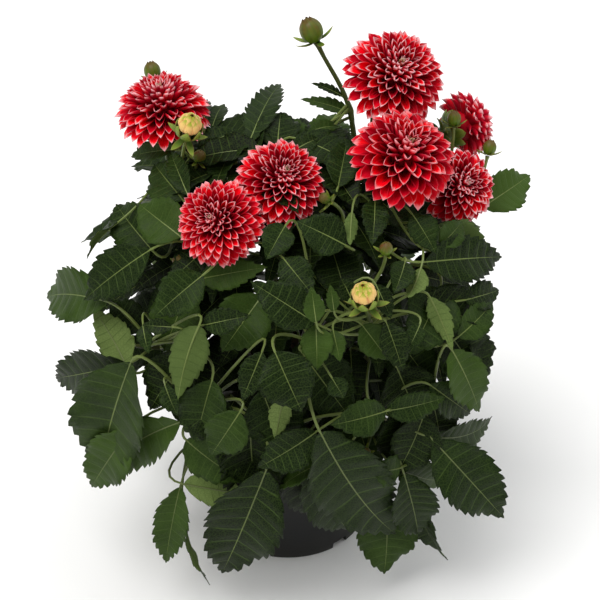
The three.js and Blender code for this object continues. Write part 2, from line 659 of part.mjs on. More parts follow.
// Blooms and the stems that carry them
blooms.forEach((bloom, i) => {
  const axis = direction(bloom.faces);
  const middle = atDepth(bloom.place, bloom.depth).addScaledVector(axis, -0.12 * bloom.radius);
  const end = middle.clone().addScaledVector(axis, -coreShare * bloom.radius - seatGap);
  const neck = end.clone().addScaledVector(axis, -34);
  const curve = stemCurve(bloom.foot, [atDepth(...bloom.via), neck, end.clone().addScaledVector(axis, -12)]);
  const rings = calyxRings.map(([past, radius]) => [past + 12, radius]);
  addGroup(`stem_bloom_${bloom.name}`, foliage, stemSolid(bloom.foot, curve, axis, rings), {
    key: `bloom_${bloom.name}`, curve,
  });
  const turn = new THREE.Quaternion().setFromUnitVectors(new THREE.Vector3(0, 0, 1), axis);
  const matrix = new THREE.Matrix4().compose(middle, turn, new THREE.Vector3(1, 1, 1));
  const solid = bloomSolid(bloom.radius, 11 + 7 * i);
  addGroup(`bloom_${bloom.name}`, redPetal, solid.transform(matrix.elements), { local: solid, middle, turn });
});

// Buds: the green one at the top is one with its stem, the opening ones are pieces of their own in a green cup
function budTop(place, depth, radius, axis, gap) {
  return atDepth(place, depth).addScaledVector(axis, -0.4 * radius - gap);
}
{
  const axis = direction(tallBud.faces);
  const middle = budTop(tallBud.place, tallBud.depth, tallBud.radius, axis, 0);
  const base = middle.clone().addScaledVector(axis, -1.4 * tallBud.radius);
  const curve = stemCurve(tallBud.foot, [atDepth(...tallBud.via), atDepth(...tallBud.second), base]);
  const rings = budRings.map(([past, wide]) => [(past + 1.4) * tallBud.radius, wide * tallBud.radius]);
  addGroup("stem_tall_bud", foliage, stemSolid(tallBud.foot, curve, axis, rings), { key: "tall", curve });
}
const cupRings = [[-0.9, 0.3], [-0.3, 0.8]];
const cupTop = -0.25;

function openingBudSolid(middle, axis, radius) {
  const rings = [[cupTop, 0.78], [0.3, 1], [0.95, 0.8], [1.35, 0.2]];
  return tubeSolid(
    rings.map(([past]) => middle.clone().addScaledVector(axis, past * radius + seatGap)),
    rings.map(([, wide]) => wide * radius), 8);
}
for (const bud of openingBuds) {
  const axis = direction(bud.faces);
  const middle = budTop(bud.place, bud.depth, bud.radius, axis, 0);
  const base = middle.clone().addScaledVector(axis, -1.5 * bud.radius);
  const curve = stemCurve(bud.foot, [atDepth(...bud.via), base]);
  const rings = [...cupRings, [cupTop, 0.8]].map(([past, wide]) => [(past + 1.5) * bud.radius, wide * bud.radius]);
  addGroup(`stem_bud_${bud.name}`, foliage, stemSolid(bud.foot, curve, axis, rings), {
    key: `bud_${bud.name}`, curve,
  });
  addGroup(`bud_${bud.name}`, peachPetal, openingBudSolid(middle, axis, bud.radius));
}

for (const shoot of shoots) {
  const end = shoot.end ? new THREE.Vector3(...shoot.end) : onCanopy(shoot.place, shoot.sink);
  const foot = new THREE.Vector3(shoot.foot[0], shoot.foot[1], soilTop);
  const bow = foot.clone().lerp(end, 0.45).add(new THREE.Vector3(0, 0, 22));
  const curve = stemCurve(shoot.foot, [bow, end]);
  const axis = curve.getTangent(1);
  addGroup(`stem_${shoot.name}`, foliage, stemSolid(shoot.foot, curve, axis, [[0, neckRadius], [5, 0.8]]), {
    key: shoot.name, curve,
  });
}

// A side stalk from its stem to a bud's base, then rings along the bud's axis
function sideStalk(owner, bud, axis, middle, rings, start) {
  const root = owner.curve.getPointAt(start);
  const base = middle.clone().addScaledVector(axis, -1.4 * bud.radius);
  const low = base.clone().addScaledVector(axis, -0.45 * root.distanceTo(base));
  const curve = new THREE.QuadraticBezierCurve3(root, low, base);
  const points = [0, 0.35, 0.7].map((t) => curve.getPoint(t));
  const radii = points.map(() => stalkRadius + 0.3);
  for (const [past, wide] of rings) {
    points.push(middle.clone().addScaledVector(axis, past * bud.radius));
    radii.push(wide * bud.radius);
  }
  return tubeSolid(points, radii, stemSides);
}

// Sets the stalk at the first start where it is clear of every other piece
function growStalk(owner, bud, axis, middle, rings) {
  for (const shift of rootShifts) {
    const solid = sideStalk(owner, bud, axis, middle, rings, bud.start + shift);
    const whole = blocked(solid, owner) ? null : joined(owner, solid);
    if (whole) {
      join(owner, solid, whole);
      return;
    }
  }
}

for (const bud of sideBuds) {
  const owner = groups.find((group) => group.key === bud.on);
  const axis = direction(bud.faces);
  const middle = atDepth(bud.place, bud.depth);
  growStalk(owner, bud, axis, middle, budRings);
}
for (const bud of openingSideBuds) {
  const owner = groups.find((group) => group.key === bud.on);
  const axis = direction(bud.faces);
  const middle = budTop(bud.place, bud.depth, bud.radius, axis, 0);
  growStalk(owner, bud, axis, middle, [...cupRings, [cupTop, 0.8]]);
  addGroup(`bud_${bud.name}`, peachPetal, openingBudSolid(middle, axis, bud.radius));
}

// Which way a blade looks: between the viewer and straight out of the plant
function leafFacing(middle, chord, leaf) {
  const out = middle.clone().sub(canopyMiddle).divide(canopySize).normalize();
  const facing = toViewer.clone().multiplyScalar(0.6).addScaledVector(out, 0.4);
  if (leaf.back) facing.negate();
  return facing.applyAxisAngle(chord.clone().normalize(), (leaf.roll ?? 0) * degree);
}

// What each leaf already on a stem adds to its distance, so that none carries too many
const crowding = 6;
const leafStems = groups.filter((group) => group.curve);

// Stems by how near they pass a leaf's base, with the point where its stalk starts
function nearStems(base) {
  return leafStems.map((group) => {
    let best = { cost: Infinity };
    for (let u = 0.12; u < 0.97; u += 0.04) {
      const point = group.curve.getPointAt(u);
      const cost = point.distanceTo(base) + 1.5 * Math.max(0, point.z - base.z - 4);
      if (cost < best.cost) best = { cost, u };
    }
    best.cost += crowding * group.solids.length;
    return { group, ...best };
  }).sort((p, q) => p.cost - q.cost).slice(0, 4);
}

// Tries each way to set a leaf clear of every other piece, and joins it to its stem. On its own stem a leaf may
// cross another where nothing else is clear.
function growLeaf(leaf, ends) {
  let fallback = null;
  for (const shift of depthShifts) {
    const [base, tip] = ends(shift);
    const chord = tip.clone().sub(base);
    const middle = base.clone().add(tip).multiplyScalar(0.5);
    for (const { group, u } of nearStems(base)) {
      for (const rootShift of rootShifts) {
        const root = group.curve.getPointAt(Math.min(Math.max(u + rootShift, 0.1), 0.96));
        const solid = leafSolid({
          root, base, tip,
          facing: leaf.facing ?? leafFacing(middle, chord, leaf),
          width: leaf.wide * (leaf.scale ?? 0.88),
          arch: leaf.arch ?? 0.13,
          bend: leaf.bend ?? 0,
          fold: 12 * degree,
          teeth: leaf.teeth ?? (leaf.wide > 29 ? 3 : 2),
        });
        if (solid.isEmpty() || insideOut(solid)) continue;
        if (blocked(solid, group)) continue;
        const whole = joined(group, solid);
        if (!whole) continue;
        if (!group.solids.slice(1).some((other) => crosses(solid, other))) {
          join(group, solid, whole);
          return;
        }
        fallback ??= { group, solid, whole };
      }
    }
  }
  if (fallback) join(fallback.group, fallback.solid, fallback.whole);
}
for (const leaf of tallLeaves) {
  growLeaf(leaf, (shift) => [atDepth(leaf.from, leaf.depth[0] + shift), atDepth(leaf.to, leaf.depth[1] + shift)]);
}
for (const leaf of [...leaves, ...innerLeaves]) {
  growLeaf(leaf, (shift) => [onCanopy(leaf.from, leaf.sink[0] + shift), onCanopy(leaf.to, leaf.sink[1] + shift)]);
}

// Leaves round the back, each hung outwards and down from the canopy by a seeded draw
const random = seededRandom(29);
backRows.forEach(([height, count, length, width], row) => {
  for (let k = 0; k < count; k += 1) {
    const turn = Math.PI / 2 - backHalfTurn + (2 * backHalfTurn * (k + 0.25 + 0.5 * random())) / count;
    const rise = (height - canopyMiddle.z) / canopySize.z;
    const ring = Math.sqrt(1 - rise * rise);
    const out = new THREE.Vector3(Math.cos(turn), Math.sin(turn), 0);
    const tip = new THREE.Vector3(out.x * canopySize.x * ring, out.y * canopySize.y * ring, height - 20);
    const droop = 0.5 - 0.9 * rise + 0.3 * random();
    const inward = out.clone().multiplyScalar(-1).add(new THREE.Vector3(0.5 * (random() - 0.5), 0, droop)).normalize();
    const long = length * (0.85 + 0.3 * random());
    growLeaf({
      wide: width, scale: 1, teeth: row < 3 ? 4 : 3,
      facing: out.clone().multiplyScalar(0.5).add(new THREE.Vector3(0, 0, 0.8)).normalize(),
    }, (shift) => {
      const end = tip.clone().addScaledVector(out, -0.8 * shift);
      return [end.clone().addScaledVector(inward, long), end];
    });
  }
});

for (const group of groups) {
  const geometry = geometryOf(group.local ?? group.whole);
  const mesh = new THREE.Mesh(geometry, group.material);
  mesh.name = group.name;
  if (group.middle) {
    mesh.position.copy(group.middle);
    mesh.quaternion.copy(group.turn);
  }
  meshes.add(mesh);
}

export default meshes;
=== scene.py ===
import math
import random

import bpy
import numpy as np
from mathutils import Matrix, Vector
from mathutils.bvhtree import BVHTree
from mathutils.kdtree import KDTree


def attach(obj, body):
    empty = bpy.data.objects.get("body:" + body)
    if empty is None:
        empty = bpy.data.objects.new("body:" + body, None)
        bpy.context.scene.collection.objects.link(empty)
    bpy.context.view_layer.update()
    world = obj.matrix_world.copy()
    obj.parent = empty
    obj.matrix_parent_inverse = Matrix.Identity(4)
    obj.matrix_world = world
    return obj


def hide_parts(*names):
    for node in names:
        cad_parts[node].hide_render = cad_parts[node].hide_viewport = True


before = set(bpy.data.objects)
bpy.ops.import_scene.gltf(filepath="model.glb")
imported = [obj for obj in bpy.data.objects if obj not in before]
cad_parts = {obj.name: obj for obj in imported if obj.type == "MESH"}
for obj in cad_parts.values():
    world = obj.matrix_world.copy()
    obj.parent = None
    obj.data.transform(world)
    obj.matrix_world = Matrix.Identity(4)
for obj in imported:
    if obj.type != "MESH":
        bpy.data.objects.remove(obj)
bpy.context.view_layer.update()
mm = 0.001
degree = math.pi / 180

# Places in the picture are [across, down] in a square of 600, as a viewer 2 m away sees the plant
view = {
    "distance": 2.0,
    "rise": 37 * degree,
    "aim": np.array((0.012, 0, 0.258)),
    "middle": 300,
    "focal": 2135,
    "side": 600,
}
toViewer = np.array((0, -math.cos(view["rise"]), math.sin(view["rise"])))
viewRight = np.array((1.0, 0, 0))
viewUp = np.array((0, math.sin(view["rise"]), math.cos(view["rise"])))
upward = np.array((0, 0, 1.0))
eye = view["aim"] + toViewer * view["distance"]
canopyMiddle = np.array((0, 0, 0.245))
canopySize = np.array((0.218, 0.195, 0.212))
soilTop = 0.155


def unit(v):
    return v / np.linalg.norm(v, axis=-1, keepdims=True)


def direction(across, up, near):
    return unit(viewRight * across + viewUp * up + toViewer * near)


def sightLine(place):
    across = (place[0] - view["middle"]) / view["focal"]
    rise = (view["middle"] - place[1]) / view["focal"]
    return unit(viewRight * across + viewUp * rise - toViewer)


def atDepth(place, depth):  # point on the sight line at a depth y, in millimetres
    line = sightLine(place)
    return eye + line * ((depth * mm - eye[1]) / line[1])


def onCanopy(place, sink):  # where the sight line meets the canopy, pushed sink millimetres further in
    line = sightLine(place)
    start = (eye - canopyMiddle) / canopySize
    step = line / canopySize
    a = step @ step
    b = start @ step
    reach = b * b - a * (start @ start - 1)
    near = (-b - math.sqrt(reach)) / a if reach > 0 else -b / a
    return eye + line * (near + sink * mm)


def bezier(points, t):
    a, b, c = points
    t = np.asarray(t, float)[..., None]
    return (1 - t) ** 2 * a + 2 * (1 - t) * t * b + t * t * c


def bezierAlong(points, t):
    a, b, c = points
    t = np.asarray(t, float)[..., None]
    return unit((1 - t) * (b - a) + t * (c - b))


class StemCurve:  # a centripetal curve through points, read by its share of length
    def __init__(self, points):
        self.points = [np.array(p, float) for p in points]
        self.times = np.linspace(0, 1, 201)
        places = np.array([self.atTime(t) for t in self.times])
        steps = np.linalg.norm(np.diff(places, axis=0), axis=1)
        self.lengths = np.concatenate([[0], np.cumsum(steps)])

    def atTime(self, t):
        points = self.points
        last = len(points) - 1
        where = t * last
        i = min(int(where), last - 1)
        w = where - i
        p1, p2 = points[i], points[i + 1]
        p0 = points[i - 1] if i > 0 else 2 * p1 - p2
        p3 = points[i + 2] if i + 2 <= last else 2 * p2 - p1
        d0, d1, d2 = (np.linalg.norm(q - p) ** 0.5 for p, q in ((p0, p1), (p1, p2), (p2, p3)))
        t1 = ((p1 - p0) / d0 - (p2 - p0) / (d0 + d1) + (p2 - p1) / d1) * d1
        t2 = ((p2 - p1) / d1 - (p3 - p1) / (d1 + d2) + (p3 - p2) / d2) * d1
        c2 = -3 * p1 + 3 * p2 - 2 * t1 - t2
        c3 = 2 * p1 - 2 * p2 + t1 + t2
        return p1 + w * t1 + w * w * c2 + w ** 3 * c3

    def at(self, share):
        return self.atTime(np.interp(share * self.lengths[-1], self.lengths, self.times))


# Mesh helpers

def deselectAll():
    for o in bpy.context.selected_objects:
        o.select_set(False)


def pick(*pieces):
    deselectAll()
    for piece in pieces:
        piece.select_set(True)
    bpy.context.view_layer.objects.active = pieces[0]


def newest():
    return bpy.context.active_object


def gridBlank(name, across, along):
    deselectAll()
    bpy.ops.mesh.primitive_grid_add(x_subdivisions=across, y_subdivisions=along, size=2)
    blank = newest()
    blank.name = name
    bpy.ops.object.shade_smooth()
    return blank


def blankPlaces(blank):  # across from -1 to 1, along from 0 to 1
    places = np.zeros(len(blank.data.vertices) * 3)
    blank.data.vertices.foreach_get("co", places)
    places = places.reshape(-1, 3)
    return places[:, 0], (places[:, 1] + 1) / 2


def giveTraits(mesh, **traits):
    for name, value in traits.items():
        trait = mesh.attributes.get(name) or mesh.attributes.new(name, "FLOAT", "POINT")
        trait.data.foreach_set("value", np.full(len(mesh.vertices), value, np.float32))


def shapedCopy(blank, places, **traits):  # a copy with its own mesh, its vertices put in place
    mesh = blank.data.copy()
    mesh.vertices.foreach_set("co", np.asarray(places, np.float32).ravel())
    giveTraits(mesh, **traits)
    piece = bpy.data.objects.new(blank.name, mesh)
    bpy.context.collection.objects.link(piece)
    return piece


def joinPieces(name, pieces):
    pick(*pieces)
    if len(pieces) > 1:
        bpy.ops.object.join()
    whole = newest()
    whole.name = name
    whole.data.name = name
    return whole


def applyModifier(piece, kind, **settings):
    pick(piece)
    modifier = piece.modifiers.new(kind.lower(), kind)
    for key, value in settings.items():
        setattr(modifier, key, value)
    bpy.ops.object.modifier_apply(modifier=modifier.name)


def editWhole(piece):
    pick(piece)
    bpy.ops.object.mode_set(mode="EDIT")
    bpy.ops.mesh.select_all(action="SELECT")


def mergeDoubles(piece, gap=0.02 * mm):
    editWhole(piece)
    bpy.ops.mesh.remove_doubles(threshold=gap)
    bpy.ops.mesh.dissolve_degenerate(threshold=0.002 * mm)
    bpy.ops.object.mode_set(mode="OBJECT")


def facesOut(piece):
    editWhole(piece)
    bpy.ops.mesh.normals_make_consistent(inside=False)
    bpy.ops.object.mode_set(mode="OBJECT")


def smoothWhole(piece):
    pick(piece)
    bpy.ops.object.shade_smooth()


def giveFinish(piece, *finishes):
    piece.data.materials.clear()
    for finish in finishes:
        piece.data.materials.append(finish)


def tubesFrom(name, lines, roundness):  # lines: lists of (point, radius), made tubes with closed ends
    curve = bpy.data.curves.new(name, "CURVE")
    curve.dimensions = "3D"
    curve.bevel_depth = 1
    curve.bevel_resolution = roundness
    curve.use_fill_caps = True
    for line in lines:
        spline = curve.splines.new("POLY")
        spline.points.add(len(line) - 1)
        for spot, (place, radius) in zip(spline.points, line):
            spot.co = (*place, 1)
            spot.radius = radius
    piece = bpy.data.objects.new(name, curve)
    bpy.context.collection.objects.link(piece)
    pick(piece)
    bpy.ops.object.convert(target="MESH")
    piece = newest()
    mergeDoubles(piece, 0.005 * mm)
    facesOut(piece)
    pick(piece)
    bpy.ops.object.shade_smooth_by_angle(angle=50 * degree)
    return piece


def finishPiece(piece, node):
    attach(piece, "root")
    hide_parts(node)


# Shader helpers

class Wire:  # a socket that can be reckoned with
    def __init__(self, paint, socket):
        self.paint = paint
        self.socket = socket

    def maths(self, operation, *values):
        return self.paint.node("Math", {"operation": operation}, dict(enumerate(values)))

    def __add__(self, other):
        return self.maths("ADD", self, other)

    def __sub__(self, other):
        return self.maths("SUBTRACT", self, other)

    def __rsub__(self, other):
        return self.maths("SUBTRACT", other, self)

    def __mul__(self, other):
        return self.maths("MULTIPLY", self, other)

    def size(self):
        return self.maths("ABSOLUTE", self)

    def fract(self):
        return self.maths("FRACT", self)

    def atMost(self, other):
        return self.maths("MINIMUM", self, other)

    __radd__ = __add__
    __rmul__ = __mul__


class Paint:  # one material
    def __init__(self, name, **fixed):
        self.material = bpy.data.materials.new(name)
        self.material.use_nodes = True
        self.tree = self.material.node_tree
        self.shader = next(n for n in self.tree.nodes if n.type == "BSDF_PRINCIPLED")
        for socket, value in fixed.items():
            self.shader.inputs[socket.replace("_", " ")].default_value = value

    def node(self, kind, settings=None, inputs=None, output=0):
        made = self.tree.nodes.new("ShaderNode" + kind)
        for key, value in (settings or {}).items():
            if key == "stops":
                ramp = made.color_ramp.elements
                while len(ramp) < len(value):
                    ramp.new(0.5)
                for stop, (place, colour) in zip(ramp, value):
                    stop.position = place
                    stop.color = (*colour, 1)
            else:
                setattr(made, key, value)
        for key, value in (inputs or {}).items():
            if isinstance(value, Wire):
                self.tree.links.new(value.socket, made.inputs[key])
            elif isinstance(value, tuple) and len(value) == 3 and made.inputs[key].type == "RGBA":
                made.inputs[key].default_value = (*value, 1)
            else:
                made.inputs[key].default_value = value
        return Wire(self, made.outputs[output])

    def place(self):
        return self.node("TexCoord", output="Object")

    def trait(self, name):
        return self.node("Attribute", {"attribute_name": name}, output="Fac")

    def across(self):  # 0 and 1 at the two edges of a blade or petal
        return self.uv("X")

    def along(self):  # 0 at its root and 1 at its tip
        return self.uv("Y")

    def side(self):  # 0 on the midline and 0.5 at both edges
        return (self.across() - 0.5).size()

    def uv(self, axis):
        return self.node("SeparateXYZ", inputs={0: self.node("UVMap", {"uv_map": "UVMap"})}, output=axis)

    def noise(self, scale, detail=3, stretch=None):
        place = self.place()
        if stretch:
            place = self.node("Mapping", inputs={"Vector": place, "Scale": stretch})
        inputs = {"Vector": place, "Scale": scale, "Detail": detail, "Roughness": 0.55}
        return self.node("TexNoise", inputs=inputs)

    def height(self):
        return self.node("SeparateXYZ", inputs={0: self.place()}, output="Z")

    def rise(self, value, low, high):  # 0 below low, 1 above high, smooth between
        settings = {"interpolation_type": "SMOOTHSTEP"}
        return self.node("MapRange", settings, {"Value": value, "From Min": low, "From Max": high})

    def mix(self, share, one, other):
        return self.node("Mix", {"data_type": "RGBA"}, {0: share, 6: one, 7: other}, 2)

    def ramp(self, share, *stops):
        return self.node("ValToRGB", {"stops": stops}, {0: share})

    def bump(self, height, strength, distance):
        return self.node("Bump", inputs={"Height": height, "Strength": strength, "Distance": distance})

    def finish(self, **wires):
        for socket, wire in wires.items():
            self.tree.links.new(wire.socket, self.shader.inputs[socket.replace("_", " ")])
        return self.material


def linear(part):
    return part / 12.92 if part < 0.0404 else ((part + 0.055) / 1.055) ** 2.4


def shade(red, green, blue):  # a colour as the eye reads it, 0 to 255, made linear
    return tuple(linear(part / 255) for part in (red, green, blue))


# Materials

leafFinish = {"sideVeins": 10, "netScale": 420, "midribMix": 0.8, "sideVeinMix": 0.5, "netMix": 0.25}


def makeLeafFinish(name, look):
    paint = Paint(name, Specular_IOR_Level=0.08)
    side = paint.side()
    lane = (paint.along() * leafFinish["sideVeins"] + side * 0.5).fract()
    midrib = 1 - paint.rise(side, 0.004, 0.014)
    sideVein = (1 - paint.rise((lane - 0.5).size(), 0.01, 0.07)) * paint.rise(0.5 - side, 0.0, 0.14)
    cells = {"Vector": paint.place(), "Scale": leafFinish["netScale"]}
    net = 1 - paint.rise(paint.node("TexVoronoi", {"feature": "DISTANCE_TO_EDGE"}, cells), 0.02, 0.16)
    patch = paint.noise(34, 4)
    tone = paint.trait("tone") + (patch - 0.5) * 0.55
    flesh = paint.ramp(tone, (0, look["dark"]), (0.5, look["middle"]), (1, look["light"]))
    flesh = paint.mix(net * leafFinish["netMix"], flesh, look["vein"])
    flesh = paint.mix(sideVein * leafFinish["sideVeinMix"], flesh, look["vein"])
    flesh = paint.mix(midrib * leafFinish["midribMix"], flesh, look["rib"])
    raised = look["raised"]
    height = sideVein * raised + midrib * raised + net * (0.35 * raised) + paint.noise(900, 2) * 0.15
    rough = patch * 0.2 + (look["rough"] - 0.1) + net * 0.05
    return paint.finish(Base_Color=flesh, Roughness=rough, Normal=paint.bump(height, 0.5, 0.5 * mm))


def makeStemFinish(name, old, fresh):
    paint = Paint(name, Specular_IOR_Level=0.4)
    streak = paint.noise(260, stretch=(1, 1, 0.06))
    blotch = paint.noise(40)
    height = paint.height()
    young = paint.rise(height + (blotch - 0.5) * 0.08, 0.16, 0.42)
    skin = paint.mix(young, old, fresh)
    skin = paint.mix(streak * 0.5, skin, shade(44, 58, 26))
    relief = paint.bump(streak, 0.35, 0.4 * mm)
    return paint.finish(Base_Color=skin, Roughness=blotch * 0.2 + 0.38, Normal=relief)


def makeBractFinish(name, root, tip, edge):
    paint = Paint(name, Specular_IOR_Level=0.25)
    blotch = paint.noise(120)
    lines = (paint.across() * 11).fract()
    rib = 1 - paint.rise((lines - 0.5).size(), 0.05, 0.3)
    skin = paint.mix(paint.rise(paint.along() + (blotch - 0.5) * 0.7, 0.2, 0.95), root, tip)
    skin = paint.mix(rib * 0.3, skin, shade(58, 84, 22))
    skin = paint.mix(paint.rise(paint.side(), 0.38, 0.5) * 0.6, skin, edge)
    relief = paint.bump(rib, 0.3, 0.3 * mm)
    return paint.finish(Base_Color=skin, Roughness=blotch * 0.2 + 0.35, Normal=relief)


def makePetalFinish(name, look):
    paint = Paint(name, Specular_IOR_Level=0.12)
    along, side = paint.along(), paint.side()
    tone, inner = paint.trait("tone"), paint.trait("inner")
    lane = paint.node("CombineXYZ", inputs={0: paint.across() * 16, 1: along * 1.6, 2: tone * 40})
    streak = paint.node("TexNoise", inputs={"Vector": lane, "Scale": 1.0, "Detail": 3.0})
    lively = paint.mix(paint.rise(tone, 0.15, 0.85), look["bright"], look["warm"])
    # Darker crimson towards each petal's root and on the inner rows: partly the petals' own colour, partly
    # painted shade deep in the bloom
    outward = paint.rise(along + (tone - 0.5) * 0.4 - inner * 0.35, 0.12, 0.8)
    body = paint.mix(outward, look["crimsonAndShade"], lively)
    body = paint.mix(paint.rise(streak, 0.45, 0.75) * 0.35, body, look["crimsonAndShade"])
    ragged = (streak - 0.5) * 0.3
    rim = paint.rise(side + ragged * 0.5, look["edgeFrom"], 0.5) * paint.rise(along, 0.5, 0.95)
    rim = rim * (paint.rise(tone, 0.35, 1.0) * 0.16 + 0.02)
    tip = paint.rise(along + ragged * 0.8 + (tone - 0.5) * 0.12, look["tipFrom"], 1.0)
    white = (rim + tip + (streak - 0.35) * look["streaks"]).atMost(1) * paint.trait("frost")
    skin = paint.mix(white, body, look["pale"])
    skin = paint.mix(paint.rise(inner, 0.93, 0.985) * 0.75, skin, shade(150, 146, 96))
    relief = paint.bump(streak, 0.3, 0.25 * mm)
    return paint.finish(Base_Color=skin, Roughness=streak * 0.2 + 0.4, Normal=relief)


def makePeachFinish():
    paint = Paint("peachPetal", Specular_IOR_Level=0.25, Sheen_Weight=0.1)
    blotch = paint.noise(150)
    ragged = (blotch - 0.5) * 0.3
    tip = paint.rise(paint.along() + ragged, 0.74, 0.97)
    skin = paint.mix(tip, shade(232, 190, 112), shade(146, 164, 36))
    skin = paint.mix(paint.rise(paint.side() + ragged, 0.22, 0.5) * 0.8, skin, shade(186, 76, 58))
    relief = paint.bump(blotch, 0.3, 0.3 * mm)
    return paint.finish(Base_Color=skin, Roughness=blotch * 0.2 + 0.4, Normal=relief)


def makePlasticFinish():
    paint = Paint("potPlastic", Specular_IOR_Level=0.32)
    cloud = paint.noise(22, 4)
    grain = paint.noise(700, 2)
    scratch = paint.noise(160, 2, (1, 1, 0.1))
    height = paint.height()
    dust = (1 - paint.rise(height + cloud * 0.02, 0.004, 0.05)) * 0.2 + paint.rise(cloud, 0.55, 0.8) * 0.1
    skin = paint.mix(dust, shade(15, 16, 15), shade(62, 58, 52))
    skin = paint.mix(paint.rise(scratch, 0.66, 0.74) * 0.2, skin, shade(60, 60, 60))
    relief = paint.bump(grain, 0.25, 0.2 * mm)
    return paint.finish(Base_Color=skin, Roughness=cloud * 0.25 + 0.34, Normal=relief)


def makeSoilFinish():
    paint = Paint("pottingSoil", Specular_IOR_Level=0.25)
    crumb = paint.noise(180, 6)
    patch = paint.noise(30)
    stops = (0.25, shade(24, 16, 11)), (0.5, shade(52, 37, 26)), (0.75, shade(92, 70, 50))
    skin = paint.ramp(crumb, *stops)
    skin = paint.mix(patch * 0.4, skin, shade(30, 22, 16))
    relief = paint.bump(crumb, 0.9, 2 * mm)
    return paint.finish(Base_Color=skin, Roughness=crumb * 0.1 + 0.88, Normal=relief)


leafTop = makeLeafFinish("leafTop", {
    "dark": shade(7, 14, 3), "middle": shade(21, 35, 9), "light": shade(60, 82, 30),
    "rib": shade(130, 146, 80), "vein": shade(68, 88, 38), "rough": 0.44, "raised": -0.7,
})
# The underside's paler grey-green is its own colour, lifted further as painted light because these faces turn
# down and get less light
leafUnder = makeLeafFinish("leafUnder", {
    "dark": shade(66, 82, 40), "middle": shade(88, 106, 54), "light": shade(112, 130, 72),
    "rib": shade(70, 88, 38), "vein": shade(62, 80, 36), "rough": 0.62, "raised": 1.0,
})
stemSkin = makeStemFinish("stemSkin", shade(66, 52, 38), shade(82, 96, 40))
stalkSkin = makeStemFinish("stalkSkin", shade(92, 104, 48), shade(118, 134, 64))
bractSkin = makeBractFinish("bractSkin", shade(78, 104, 30), shade(132, 150, 56), shade(122, 84, 50))
budSkin = makeBractFinish("budSkin", shade(86, 116, 22), shade(92, 72, 28), shade(104, 44, 30))
# The dark crimson is partly the petals' own colour and partly painted shade where the petals crowd
petalTop = makePetalFinish("petalTop", {
    "crimsonAndShade": shade(142, 0, 20), "bright": shade(222, 0, 36), "warm": shade(255, 0, 24),
    "pale": shade(255, 214, 218), "edgeFrom": 0.45, "tipFrom": 0.86, "streaks": 0.0,
})
petalUnder = makePetalFinish("petalUnder", {
    "crimsonAndShade": shade(150, 0, 28), "bright": shade(212, 4, 46), "warm": shade(236, 6, 36),
    "pale": shade(255, 208, 214), "edgeFrom": 0.42, "tipFrom": 0.79, "streaks": 0.04,
})
peachPetal = makePeachFinish()
potPlastic = makePlasticFinish()
pottingSoil = makeSoilFinish()


# Pot and soil

pot = {
    "height": 170 * mm, "topRadius": 95 * mm, "baseRadius": 78 * mm, "wall": 2 * mm, "rimHeight": 11 * mm,
    "rimStep": 4 * mm, "slots": 6, "slotWidth": 17 * mm, "slotHeight": 7 * mm, "slotDepth": 24 * mm,
    "slotTurn": 41 * degree, "sides": 96,
}


def potProfile():  # half its section, from the middle of the base out, over the rim and back
    top, base, wall, height = pot["topRadius"], pot["baseRadius"], pot["wall"], pot["height"]
    rimLow = height - pot["rimHeight"]
    body = top - pot["rimStep"]
    inset = (body - base) / rimLow * wall
    return [
        (0, 0), (base - 6 * mm, 0), (base - 1.2 * mm, 0), (base - 0.4 * mm, 0.3 * mm), (base, 1.2 * mm),
        (base + 0.05 * (body - base), 0.05 * rimLow), (body, rimLow - 0.6 * mm),
        (body + 0.8 * mm, rimLow + 0.4 * mm), (top - 0.7 * mm, rimLow + 1.4 * mm), (top, rimLow + 2.4 * mm),
        (top, height - 1.3 * mm), (top - 0.4 * mm, height - 0.4 * mm), (top - 1.2 * mm, height),
        (top - 1.9 * mm, height - 0.4 * mm), (top - 2.2 * mm, height - 1.4 * mm),
        (top - 3 * mm, rimLow + 3 * mm), (body - wall, rimLow - 1 * mm),
        (base + inset - wall, 1.2 * wall), (base - 2.4 * wall, wall), (0, wall),
    ]


def slotBlock(k):
    turn = pot["slotTurn"] + 2 * math.pi * k / pot["slots"]
    place = (pot["baseRadius"] * math.sin(turn), -pot["baseRadius"] * math.cos(turn), 0)
    deselectAll()
    bpy.ops.mesh.primitive_cube_add(
        size=1, location=place, rotation=(0, 0, turn),
        scale=(pot["slotWidth"], pot["slotDepth"], 2 * pot["slotHeight"]))
    bpy.ops.object.transform_apply(location=True, rotation=True, scale=True)
    block = newest()
    applyModifier(block, "BEVEL", width=1.6 * mm, segments=3)
    return block


def makePot():
    profile = potProfile()
    mesh = bpy.data.meshes.new("potWall")
    mesh.from_pydata([(r, 0, z) for r, z in profile], [(i, i + 1) for i in range(len(profile) - 1)], [])
    shell = bpy.data.objects.new("potWall", mesh)
    bpy.context.collection.objects.link(shell)
    sides = pot["sides"]
    applyModifier(shell, "SCREW", steps=sides, render_steps=sides, axis="Z", use_merge_vertices=True)
    mergeDoubles(shell, 0.01 * mm)
    facesOut(shell)
    cutter = joinPieces("slotCutter", [slotBlock(k) for k in range(pot["slots"])])
    applyModifier(shell, "BOOLEAN", operation="DIFFERENCE", object=cutter, solver="EXACT")
    bpy.data.objects.remove(cutter)
    pick(shell)
    bpy.ops.object.shade_smooth_by_angle(angle=35 * degree)
    giveFinish(shell, potPlastic)
    finishPiece(shell, "pot")


soil = {"radius": 88.6 * mm, "lowRadius": 76.5 * mm, "depth": 150 * mm, "cells": 80, "crumbs": 260}


def soilHeight(x, y):
    x, y = x / mm, y / mm
    swell = 1.6 * np.sin(x / 11 + 1) * np.cos(y / 9) + np.sin(x / 5 + y / 7)
    return (swell + 0.5 * np.sin(x / 2.1) * np.sin(y / 1.9)) * mm


